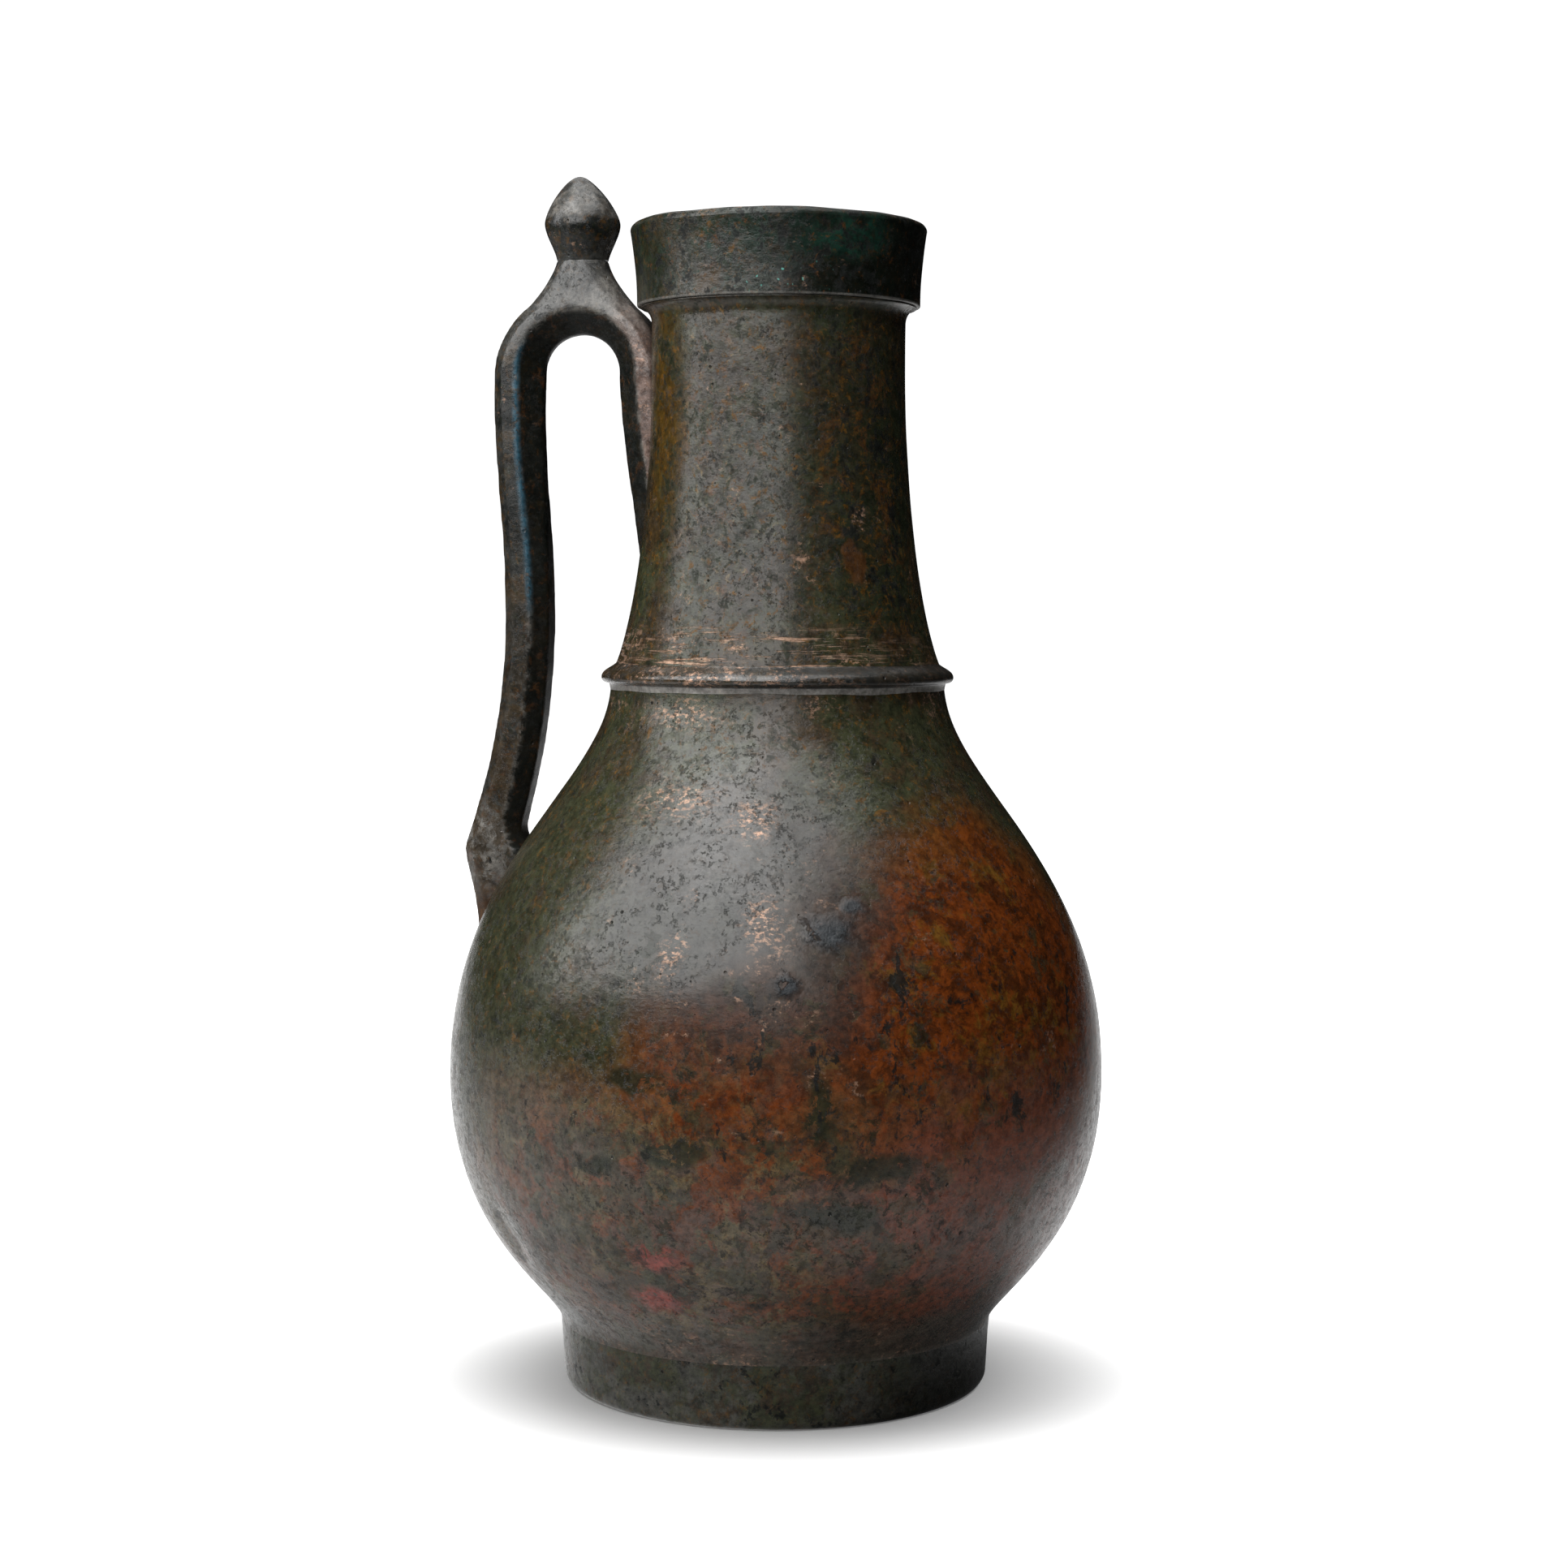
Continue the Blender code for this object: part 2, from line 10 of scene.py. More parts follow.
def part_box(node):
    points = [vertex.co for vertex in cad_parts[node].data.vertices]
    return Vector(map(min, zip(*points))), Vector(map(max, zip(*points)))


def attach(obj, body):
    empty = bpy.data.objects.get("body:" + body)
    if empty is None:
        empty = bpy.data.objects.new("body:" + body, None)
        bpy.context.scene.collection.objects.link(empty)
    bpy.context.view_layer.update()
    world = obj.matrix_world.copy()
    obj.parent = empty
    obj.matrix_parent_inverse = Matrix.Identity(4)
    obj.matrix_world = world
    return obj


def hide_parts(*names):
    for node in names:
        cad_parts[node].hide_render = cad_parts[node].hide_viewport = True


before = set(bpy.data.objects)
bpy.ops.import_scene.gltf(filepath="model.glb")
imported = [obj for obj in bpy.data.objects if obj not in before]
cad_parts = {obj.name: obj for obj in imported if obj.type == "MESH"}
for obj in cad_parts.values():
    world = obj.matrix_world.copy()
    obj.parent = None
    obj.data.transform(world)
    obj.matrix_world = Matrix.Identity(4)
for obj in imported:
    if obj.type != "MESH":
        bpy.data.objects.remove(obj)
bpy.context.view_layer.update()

# Metres, +Z up. The jug's axis is Z and its handle is on the -X side.
foot_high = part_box("foot_ring")[1]
base_low, base_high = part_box("base_plate")
belly_low, belly_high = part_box("belly_shell")
ring_low, ring_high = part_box("neck_ring")
collar_low, collar_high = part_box("mouth_collar")
finial_low, finial_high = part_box("handle_finial")

# Camera, as pixels of the photo and metres
PHOTO_SIZE = 1932.0
FOCAL_LENGTH_PX = 3550.0
SENSOR = 36.0
CAMERA_AZIMUTH = math.radians(12.0)
CAMERA_PITCH = math.radians(3.72)
CAMERA_ROLL = math.radians(0.2)
CAMERA_DISTANCE = 0.7171
CAMERA_HEIGHT = 0.1956
CAMERA_SHIFT_RIGHT = 0.0017

# Light
HANGING_HEIGHT = 1.2            # of the lights over the table
SOFTBOX_RADIANCE = 4.4
SOFTBOX_SIZE = (1.12, 0.86)
SOFTBOX_LOW_EDGE = 0.270
SOFTBOX_TURN = -42.0            # degrees from the side that faces the camera
SOFTBOX_STAND = 0.45
TOP_BOX_RADIANCE = 3.3
TOP_BOX_SIZE = (1.16, 0.96)
TOP_BOX_LEFT = 0.03
TOP_BOX_FRONT = 0.22
BACK_BOX_RADIANCE = 1.1         # for the far side, which the photo's camera doesn't see
BACK_BOX_SIZE = (0.9, 0.6)
BACK_BOX_BEHIND = 0.60
BACK_BOX_HEIGHT = 1.05
BACK_BOX_AIM = 0.15             # height that it looks at
TABLE_LIGHT_RADIANCE = 3.2
TABLE_LIGHT_SIZE = (2.0, 2.0)
TABLE_HALF = 3.0
SHADOW_GREY = 0.12
SHADOW_CORE = 0.054             # where the table begins to brighten
SHADOW_END = 0.130              # where it is white
SHADOW_WIDE = 0.88              # less than 1 stretches the shadow sideways
SHADOW_SHALLOW = 1.10           # more than 1 shortens it towards the camera
SHADOW_SHIFT = 0.005            # how far the shadow lies to the right
CARD_RADIANCE = 1.15
CARD_HALF = 2.0
CARD_DEPTH = 0.0005             # how far the card lies under the table top
CARD_HALF_WIDTH = 0.187         # of its bright part, beside the jug
CARD_SPREAD = 0.43              # widening per metre towards the back
CARD_FRONT = 0.65               # where its light ends towards the camera
CARD_FULL = 0.13                # where its light is full
CARD_SIDE_FALL = 0.55           # distance to the side at which its light halves
CARD_RIGHT_LOSS = 0.35          # how much nearer that is on the right
ROOM_DIMNESS = 0.005            # grey of the room that the jug mirrors
WHITE = 1.1                     # a little over full white, for the surround

# Vessel
WALL = 0.0024
LAP = 0.0004                    # how far a piece runs on inside its neighbour
TURN_STEPS = 240
FOOT_TAPER = 0.0008
FOOT_EDGE = 0.0026
FOOT_LEDGE = 0.0030             # step on which the belly's wall stands
FOOT_RIM = 0.0048               # that step and the rim inside it
FOOT_REBATE = 0.0025            # step under the base plate's edge
FOOT_INNER_EDGE = 0.0012
BASE_STEPS = 60
BASE_GROOVE = 0.00012           # depth of the turning rings
BASE_RINGS = 40.0               # radians of their wave, from the middle to the edge
BELLY_HEIGHT = 0.0775
BELLY_FOOT_RISE = 0.0076
BELLY_FOOT_FLARE = 0.0008
BELLY_LOWER_FULLNESS = 0.0412
BELLY_UPPER_FULLNESS = 0.0537
SHOULDER_FULLNESS = 0.0262
DENT_TURN = -61.0               # degrees from the side that faces the camera
DENT_R = 0.0735
DENT_HEIGHT = 0.0420
DENT_SLANT = 0.55
DENT_LENGTH = 0.0085
DENT_WIDTH = 0.0048
DENT_DEPTH = 0.0012
SEAM_R = 0.0413
NECK_R = 0.03145
NECK_FOOT_GAP = 0.0003
SPIGOT_DEPTH = 0.0060           # how far the neck reaches down inside the belly
NECK_TOP_HEIGHT = 0.2662
NECK_WAIST_HEIGHT = 0.2520
NECK_FLARE_IN = 0.0051
NECK_FLARE_UP = 0.0115
NECK_FULLNESS = 0.0348
NECK_TOP_SPREAD = 0.0026
NECK_TOP_HOLLOW = 0.0036
QUARTER_ROUND = 0.55            # handle length that makes a Bezier a quarter round
RING_HOLLOW = 0.0025            # height of the hollow under the bead
RING_ROUND = 0.0014             # rounding of the bead's lower edge
RING_CREST = 0.0022             # fullness of the bead's upper side
RING_EASE = 0.0017              # height over which the bead's top eases into the neck
COLLAR_R = 0.0350
COLLAR_EDGE = 0.0006
COLLAR_RISE = 0.0090
LIP_EDGE = 0.0020
LIP_WIDTH = 0.0050
LIP_SLOPE = 0.0060              # height over which the lip slopes in to the bore

# Handle
COLLAR_CLEARANCE = 0.0006
BAR_DEPTH = 0.0112
BAR_WIDTH = 0.0140
INNER_BEVEL = 0.0058
BEVEL_LOSS = 0.0018             # how much narrower the inner bevel is on the lower grip
BAR_SWELL = 0.0012              # how much the bar thickens towards the arch and the knee
OUTER_BEVEL = 0.0030
ARM_DEPTH = 0.0078
ARM_LENGTH = 0.0440
ARM_STEPS = 24
ARCH_STEPS = 36
TAIL_STEPS = 24
ARM_TIP_PROUD = 0.0010
ARM_TIP_WIDTH = 0.0090
GRIP_WAIST_HEIGHT = 0.1900
GRIP_SET_IN = 0.0028
GRIP_FULLNESS = 0.0250
KNEE_HEIGHT = 0.1310
KNEE_STAND = 0.0150
KNEE_LEAN = math.radians(20.0)
KNEE_FULLNESS = 0.0150
TOE_RISE = 0.0090
TOE_DEPTH = 0.0060
TAIL_LENGTH = 0.0222
TAIL_PROUD = 0.0010
TAIL_WIDTH = 0.0100
TAIL_EASE = 1.4
CROWN_RISE = 0.0065
CROWN_EASE = 1.45
CROWN_LAYERS = 20
CROWN_SIDES = 32
CROWN_SQUARENESS = 0.6          # section at the crown's foot: 1 is an oval, less is squarer
FINIAL_WAIST_R = 0.0064
FINIAL_SHOULDER = 0.0095
FINIAL_TIP = 0.0118
FINIAL_HOLLOW = 0.0032
FINIAL_LEAN = 0.0004
FINIAL_FULLNESS = 0.0036
FINIAL_TIP_R = 0.0036
FINIAL_GAP = 0.0003
FINIAL_FACETS = 6.0
FINIAL_FACET_DEPTH = 0.018      # as a share of the radius
FINIAL_TIP_SHIFT = 0.0006       # how far the tip leans to the left
FINIAL_RUB_DOWN = 6
ARRIS_SOFT = 0.0004
ARRIS_WIDTH = 0.0012
HANDLE_GRAIN = 0.00055          # size of the cells the handle is skinned with
HANDLE_RUB_DOWN = 3             # how often the handle's arrises are rubbed down

# Sizes that follow
BELLY_R = belly_high.x
FOOT_TOP_R = foot_high.x
SEAM_HEIGHT = belly_high.z
COLLAR_BOTTOM = collar_low.z
LIP_TOP = collar_high.z
LIP_R = collar_high.x
BORE_R = NECK_R - WALL
FINIAL_R = finial_high.y
ARCH_X = -(finial_low.x + finial_high.x) / 2
ARCH_INNER_R = ARCH_X - NECK_R - ARM_DEPTH
ARCH_MID_R = ARCH_INNER_R + BAR_DEPTH / 2
ARCH_OUTER_R = ARCH_INNER_R + BAR_DEPTH
CROWN_HALF = ARCH_X - COLLAR_R - COLLAR_CLEARANCE
CROWN_FOOT_RISE = math.sqrt(ARCH_OUTER_R ** 2 - CROWN_HALF ** 2)
ARCH_HEIGHT = COLLAR_BOTTOM - CROWN_FOOT_RISE
FINIAL_SEAT = ARCH_HEIGHT + ARCH_OUTER_R + CROWN_RISE
TO_CAMERA = Vector((math.sin(CAMERA_AZIMUTH), -math.cos(CAMERA_AZIMUTH), 0.0))
TO_RIGHT = Vector((math.cos(CAMERA_AZIMUTH), math.sin(CAMERA_AZIMUTH), 0.0))


def curve(start, start_handle, end_handle, end, steps):
    """Return points along one Bezier curve."""
    return interpolate_bezier(Vector(start), Vector(start_handle), Vector(end_handle), Vector(end), steps + 1)


def rounded(centre, radius, start, end, steps=10):
    """Return points along an arc, from the start angle to the end angle in degrees."""
    angles = [math.radians(start + (end - start) * i / steps) for i in range(steps + 1)]
    return [Vector((centre[0] + radius * math.cos(a), centre[1] + radius * math.sin(a))) for a in angles]


def straight(start, end, steps):
    """Return points along a straight line."""
    return [Vector(start).lerp(Vector(end), i / steps) for i in range(steps + 1)]


def offset(outline, distance):
    """Move an outline that runs upwards along its normals, outwards for a positive distance."""
    result = []
    for i, point in enumerate(outline):
        step = outline[min(i + 1, len(outline) - 1)] - outline[max(i - 1, 0)]
        result.append(point + Vector((step.y, -step.x)).normalized() * distance)
    return result


def radius_at(outline, height):
    """Return an outline's radius at a height."""
    for low, high in zip(outline, outline[1:]):
        if height <= high.y:
            break
    return low.x + (high.x - low.x) * (height - low.y) / (high.y - low.y)


def facing(degrees, radius, height):
    """Return the place at an angle to the right of the side that faces the camera."""
    angle = math.radians(degrees)
    return (TO_CAMERA * math.cos(angle) + TO_RIGHT * math.sin(angle)) * radius + Vector((0.0, 0.0, height))


def belly_outline():
    """Return the belly's outer outline, from the foot to the seam."""
    foot = (FOOT_TOP_R, belly_low.z)
    foot_handle = (FOOT_TOP_R + BELLY_FOOT_FLARE, belly_low.z + BELLY_FOOT_RISE)
    girth = (BELLY_R, BELLY_HEIGHT)
    lower = curve(foot, foot_handle, (BELLY_R, BELLY_HEIGHT - BELLY_LOWER_FULLNESS), girth, 70)
    upper = curve(girth, (BELLY_R, BELLY_HEIGHT + BELLY_UPPER_FULLNESS),
                  (SEAM_R, SEAM_HEIGHT - SHOULDER_FULLNESS), (SEAM_R, SEAM_HEIGHT), 90)
    return lower + upper[1:]


def neck_outline():
    """Return the neck's outer outline, from the seam to the shoulder under the collar."""
    foot_height = SEAM_HEIGHT + NECK_FOOT_GAP
    foot = (SEAM_R, foot_height)
    foot_handle = (SEAM_R - NECK_FLARE_IN, foot_height + NECK_FLARE_UP)
    waist = (NECK_R, NECK_WAIST_HEIGHT)
    rise = curve(foot, foot_handle, (NECK_R, NECK_WAIST_HEIGHT - NECK_FULLNESS), waist, 80)
    top_r = NECK_R + NECK_TOP_SPREAD
    hollow = NECK_TOP_HEIGHT - NECK_TOP_HOLLOW
    hollow_handle = (NECK_R, hollow + NECK_TOP_HOLLOW * QUARTER_ROUND)
    top_handle = (top_r - NECK_TOP_SPREAD * QUARTER_ROUND, NECK_TOP_HEIGHT)
    upright = straight(waist, (NECK_R, hollow), 8)[1:-1]
    return rise + upright + curve((NECK_R, hollow), hollow_handle, top_handle, (top_r, NECK_TOP_HEIGHT), 16)


BELLY = belly_outline()
NECK = neck_outline()
BELOW_HOLLOW = [point for point in NECK if point.y <= NECK_TOP_HEIGHT - NECK_TOP_HOLLOW]


def spin_outline(outline, closed, steps=TURN_STEPS):
    """Spin an outline of (radius, height) points round Z."""
    bm = bmesh.new()
    points = [bm.verts.new((point[0], 0.0, point[1])) for point in outline]
    edges = [bm.edges.new(pair) for pair in zip(points, points[1:])]
    if closed:
        edges.append(bm.edges.new((points[-1], points[0])))
    bmesh.ops.spin(bm, geom=points + edges, cent=(0.0, 0.0, 0.0), axis=(0.0, 0.0, 1.0),
                   angle=math.tau, steps=steps, use_merge=True)
    bmesh.ops.remove_doubles(bm, verts=bm.verts, dist=1e-7)
    bmesh.ops.recalc_face_normals(bm, faces=bm.faces)
    bm.normal_update()
    return bm


def loft(rings):
    """Join a row of like rings into one closed skin."""
    bm = bmesh.new()
    loops = []
    for ring in rings:
        points = [bm.verts.new(point) for point in ring]
        loops.append([bm.edges.new((points[i - 1], points[i])) for i in range(len(points))])
    for first, second in zip(loops, loops[1:]):
        bmesh.ops.bridge_loops(bm, edges=first + second)
    for loop in (loops[0], loops[-1]):
        bmesh.ops.edgeloop_fill(bm, edges=loop)
    bmesh.ops.recalc_face_normals(bm, faces=bm.faces)
    return bm


def wander(place, size, seed):
    """Return smooth noise from -1 to 1 whose lumps are about this size."""
    return noise.noise(place / size + Vector((seed * 7.31, seed * 3.17, seed * 5.71)))


def smooth_step(low, high, value):
    """Return 0 below low, 1 above high and an eased value between."""
    share = min(max((value - low) / (high - low), 0.0), 1.0)
    return share * share * (3.0 - 2.0 * share)


def press_in(bm, depth_at):
    """Move each vertex into the metal by the depth that is given for its place."""
    bm.normal_update()
    moves = [(vert, vert.normal * depth_at(vert.co, vert.normal)) for vert in bm.verts]
    for vert, move in moves:
        vert.co -= move


def dents(place, *layers):
    """Return a depth from layers of noise, each given by its depth, the size of its lumps and a seed."""
    return sum(deep * (1.0 + wander(place, size, seed)) for deep, size, seed in layers)


def faces_axis(place, normal):
    """Tell whether a surface looks towards the jug's axis."""
    return normal.dot(Vector((place.x, place.y, 0.0))) < 0.0


def rub_down(bm, times):
    """Soften the edges of a skin."""
    axes = {"use_axis_x": True, "use_axis_y": True, "use_axis_z": True}
    for _ in range(times):
        bmesh.ops.smooth_vert(bm, verts=bm.verts, factor=0.5, **axes)


def add_object(name, bm):
    """Turn a bmesh into an object of the scene."""
    mesh = bpy.data.meshes.new(name)
    bm.to_mesh(mesh)
    bm.free()
    item = bpy.data.objects.new(name, mesh)
    bpy.context.scene.collection.objects.link(item)
    return item


def finish_piece(name, bm, finish, replaced, sharp_degrees=38.0):
    """Turn a bmesh into a shown piece of the jug."""
    bmesh.ops.recalc_face_normals(bm, faces=bm.faces)
    piece = add_object(name, bm)
    piece.data.materials.append(finish.material)
    piece.data.shade_smooth()
    piece.data.set_sharp_from_angle(angle=math.radians(sharp_degrees))
    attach(piece, "root")
    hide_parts(replaced)
    return piece


# Shading

def tone(red, green, blue):
    """Return a colour from its screen values, 0 to 255."""
    shares = [value / 255.0 for value in (red, green, blue)]
    return [s / 12.92 if s <= 0.04045 else ((s + 0.055) / 1.055) ** 2.4 for s in shares] + [1.0]


def sum_of(operation, swapped=False):
    """Return a method that joins a wire and another value in a Math node."""
    def method(wire, other):
        values = (other, wire) if swapped else (wire, other)
        return wire.finish.math(operation, *values)
    return method


class Wire:
    """A shader socket. Sums written with it add Math nodes."""

    def __init__(self, finish, socket):
        self.finish = finish
        self.socket = socket

    __add__ = sum_of("ADD")
    __radd__ = sum_of("ADD", True)
    __sub__ = sum_of("SUBTRACT")
    __rsub__ = sum_of("SUBTRACT", True)
    __mul__ = sum_of("MULTIPLY")
    __rmul__ = sum_of("MULTIPLY", True)
    __truediv__ = sum_of("DIVIDE")
    __pow__ = sum_of("POWER")


class Finish:
    """A material put together from nodes."""

    def __init__(self, name):
        self.material = bpy.data.materials.new(name)
        self.material.use_nodes = True
        self.tree = self.material.node_tree
        self.shader = self.tree.nodes["Principled BSDF"]
        self.place = self.node("ShaderNodeTexCoord", out="Object")
        parts = self.tree.nodes.new("ShaderNodeSeparateXYZ")
        self.join(self.place, parts.inputs[0])
        self.x, self.y, self.height = [Wire(self, socket) for socket in parts.outputs]

    def join(self, value, socket):
        """Link a wire to a socket, or set the socket's value."""
        if isinstance(value, Wire):
            self.tree.links.new(value.socket, socket)
        else:
            socket.default_value = value

    def node(self, kind, settings=None, inputs=None, out=0):
        """Add a node, set its settings and then its sockets, and return one of its outputs."""
        made = self.tree.nodes.new(kind)
        for name, value in (settings or {}).items():
            setattr(made, name, value)
        for key, value in (inputs or {}).items():
            self.join(value, made.inputs[key])
        return Wire(self, made.outputs[out])

    def math(self, operation, *values):
        """Add a Math node."""
        return self.node("ShaderNodeMath", {"operation": operation}, dict(enumerate(values)))

    def vector_math(self, operation, *values, out=0):
        """Add a Vector Math node."""
        return self.node("ShaderNodeVectorMath", {"operation": operation}, dict(enumerate(values)), out)

    def mix(self, share, first, second, blend="MIX"):
        """Mix two colours."""
        settings = {"data_type": "RGBA", "blend_type": blend, "clamp_factor": True}
        return self.node("ShaderNodeMix", settings, {0: share, 6: first, 7: second}, 2)

    def step(self, value, low, high):
        """Return 0 below low, 1 above high and an eased value between."""
        inputs = {"Value": value, "From Min": low, "From Max": high}
        return self.node("ShaderNodeMapRange", {"interpolation_type": "SMOOTHSTEP"}, inputs)

    def lumps(self, size, seed, detail=4.0, rough=0.55, place=None, out=0):
        """Return noise whose lumps are about this size."""
        inputs = {"Vector": place or self.place, "W": seed, "Scale": 1.0 / size}
        inputs.update({"Detail": detail, "Roughness": rough})
        return self.node("ShaderNodeTexNoise", {"noise_dimensions": "4D"}, inputs, out)

    def cells(self, size, seed, place=None):
        """Return the distance to the nearest of many scattered points, in cells."""
        inputs = {"Vector": place or self.place, "W": seed, "Scale": 1.0 / size}
        return self.node("ShaderNodeTexVoronoi", {"voronoi_dimensions": "4D"}, inputs, "Distance")

    def stretched(self, turn, scale, place=None):
        """Return the place in a turned and stretched space."""
        inputs = {"Vector": place or self.place, "Rotation": turn, "Scale": scale}
        return self.node("ShaderNodeMapping", {"vector_type": "POINT"}, inputs)

    def warped(self, size, amount, seed):
        """Return the place, pushed about by noise."""
        push = self.vector_math("SUBTRACT", self.lumps(size, seed, 3.0, 0.6, out="Color"), (0.5, 0.5, 0.5))
        push = self.vector_math("MULTIPLY", push, (amount, amount, amount))
        return self.vector_math("ADD", self.place, push)

    def patch(self, centre, radii, place, soft=0.5):
        """Return 1 inside an egg-shaped patch, falling to 0 at its edge."""
        inputs = {"Vector": place, "Location": centre, "Scale": radii}
        local = self.node("ShaderNodeMapping", {"vector_type": "TEXTURE"}, inputs)
        return 1.0 - self.step(self.vector_math("LENGTH", local, out="Value"), 1.0 - soft, 1.0 + soft)

    def painted(self, attribute):
        """Return a mask that the piece's mesh carries at its points."""
        return self.node("ShaderNodeAttribute", {"attribute_name": attribute}, None, "Fac")

    def grey(self, value):
        """Return a colour without hue."""
        return self.node("ShaderNodeCombineColor", None, {0: value, 1: value, 2: value})

    def along(self, direction):
        """Return how far the place lies in a level direction."""
        return self.x * direction.x + self.y * direction.y

    def below(self, low, high):
        """Return 1 below a height, falling to 0 at a higher one."""
        return 1.0 - self.above(low, high)

    def above(self, low, high):
        """Return 0 below a height, rising to 1 at a higher one."""
        return self.step(self.height, low, high)

    def dress(self, inputs):
        """Link or set several sockets of the shader."""
        for name, value in inputs.items():
            self.join(value, self.shader.inputs[name])

    def most(self, *wires):
        """Return the largest of several values."""
        result = wires[0]
        for wire in wires[1:]:
            result = self.math("MAXIMUM", result, wire)
        return result


# Patina colours, and the colours of painted shade and sheen
UMBER = tone(50, 41, 29)
OLIVE = tone(47, 49, 33)
GREY_BRONZE = tone(43, 42, 39)
OCHRE = tone(84, 56, 18)
OLD_OCHRE = tone(56, 40, 8)
RUST = tone(90, 42, 12)
DEEP_RUST = tone(58, 28, 10)
BRICK = tone(96, 52, 36)
PLUM = tone(72, 56, 48)
CRIMSON = tone(124, 54, 46)
SOOT = tone(21, 23, 22)
# painted shade, laid where shade falls
PAINTED_SHADE_GREEN = tone(8, 11, 8)
BLUE_BLACK = tone(34, 40, 44)
VERDIGRIS = tone(27, 42, 35)
ARRIS_BLUE = tone(34, 66, 80)
BLACK_GREEN = tone(26, 31, 20)
TURQUOISE = tone(70, 124, 114)
TEAL = tone(22, 62, 50)
COPPER = tone(166, 132, 110)
EARTH = tone(66, 42, 22)
FOOT_GREY = tone(60, 59, 54)
# wear on the arris, and painted sheen and highlights on the handle, the finial and the belly's lower left
WEAR_AND_SHEEN_GREY = tone(96, 93, 88)
ARM_GREY = tone(122, 102, 94)
# painted sheen on the handle's crown and painted highlight on the finial's top; also laid on the lower grip
# and the finial's waist
CROWN_GREY = tone(66, 66, 64)
TAN = tone(92, 78, 52)
SOLDER = tone(150, 147, 142)


class Patina(Finish):
    """Waxed bronze with layers of patina. Each layer is put over the ones before it."""

    def __init__(self, name, first, second, gloss=0.5):
        super().__init__(name)
        self.gloss = gloss
        self.near = self.warped(0.012, 0.010, 1.0)
        self.far = self.warped(0.040, 0.044, 2.0)
        self.fine = self.lumps(0.0022, 3.0, 9.0, 0.78)
        self.cloud = self.lumps(0.016, 4.0, 9.0, 0.70)
        self.brushed = self.lumps(0.0011, 6.0, 3.0, 0.6, self.stretched((0.0, -0.35, 0.0), (0.5, 0.6, 1.0)))
        self.colour = self.mix(self.step(self.cloud, 0.44, 0.56), first, second)
        self.metal = 0.0
        self.rough = 0.09 + self.lumps(0.006, 5.0, 7.0, 0.65) * 0.08
        self.relief = self.fine * 0.00008 + self.brushed * 0.00007
        self.bare = self.step(self.lumps(0.0030, 7.0, 10.0, 0.78), 0.50, 0.58) * 0.6

    def region(self, turn, radius, height, radii, soft=0.5):
        """Return a large patch with a wandering edge, at an angle from the side that faces the camera."""
        return self.patch(facing(turn, radius, height), radii, self.far, soft)

    def spot(self, turn, radius, height, radii, soft=0.5):
        """Return a small patch with a ragged edge, at an angle from the side that faces the camera."""
        return self.patch(facing(turn, radius, height), radii, self.near, soft)

    def strip(self, *shares):
        """Take the wax off where one of the shares says so."""
        self.bare = self.most(self.bare, *shares)

    def swell(self, size, seed, detail, rise):
        """Raise low lumps."""
        self.relief = self.relief + self.lumps(size, seed, detail) * rise

    def lay(self, share, colour):
        """Put a colour over the ones below it."""
        self.colour = self.mix(share, self.colour, colour)

    def blotches(self, size, seed, low, high):
        """Return ragged blotches, 0 outside and 1 inside."""
        return self.step(self.lumps(size, seed, 11.0, 0.76, self.near), low, high)

    def mottle(self, share, colour, size, seed, low, high):
        """Lay a colour in ragged blotches within a region."""
        self.lay(share * self.blotches(size, seed, low, high), colour)

    def flakes(self, share, size, seed, cut, colour=SOOT):
        """Lay dark flakes with sharp ragged edges."""
        flake = self.blotches(size, seed, cut, cut + 0.025) * share
        self.lay(flake * 0.9, colour)
        self.strip(flake * 0.9)
        self.relief = self.relief - flake * 0.00002

    def drips(self, share, size, seed, cut, colour=SOOT):
        """Lay dark flakes that run down the wall."""
        tall = self.stretched((0.0, 0.0, 0.0), (1.0, 1.0, 0.45), self.near)
        drip = self.step(self.lumps(size, seed, 10.0, 0.72, tall), cut, cut + 0.03) * share
        self.lay(drip * 0.9, colour)
        self.strip(drip * 0.9)

    def worn(self, share, size, seed, cut, strength=0.8):
        """Rub clusters of small flecks through to bright metal."""
        cluster = self.step(self.lumps(size, seed, 6.0, 0.7), cut, cut + 0.12)
        tilted = self.stretched((0.0, -0.35, 0.0), (0.6, 0.7, 1.0))
        dash = self.step(self.lumps(0.0010, seed + 0.7, 6.0, 0.74, tilted), 0.51, 0.58)
        fleck = dash * cluster * share
        self.lay(fleck * strength, COPPER)
        self.metal = self.metal + fleck * 0.4
        self.rough = self.rough + fleck * 0.15

    def turned_lines(self, share, seed):
        """Rub bright lines round the axis, as left by turning."""
        flat = self.stretched((0.0, 0.0, 0.0), (0.07, 0.07, 1.0))
        line = self.step(self.lumps(0.0010, seed, 4.0, 0.7, flat), 0.51, 0.60)
        line = line * self.step(self.lumps(0.012, seed + 0.4, 6.0, 0.7), 0.36, 0.52) * share
        self.lay(line * 0.65, COPPER)
        self.metal = self.metal + line * 0.4
        self.relief = self.relief - line * 0.00010

    def soldered(self, share, seed):
        """Leave a pale band of bare, dull metal."""
        band = share * (0.70 + self.step(self.lumps(0.006, seed, 8.0, 0.72), 0.35, 0.65) * 0.30)
        self.lay(band, SOLDER)
        self.metal = self.metal * (1.0 - band) + band * 0.55
        self.rough = self.rough * (1.0 - band) + band * 0.40

    def spots(self, places, soft):
        """Return one mask of oval spots on the belly's wall."""
        ovals = []
        for turn, height, wide, tall in places:
            ovals.append(self.spot(turn, radius_at(BELLY, height), height, (wide, wide, tall), soft))
        return self.most(*ovals)

    def specks(self, share, colour, size, seed, reach):
        """Lay scattered round specks."""
        near_point = self.cells(size, seed, self.warped(size, size * 0.9, seed))
        self.lay((1.0 - self.step(near_point, reach * 0.6, reach)) * share, colour)

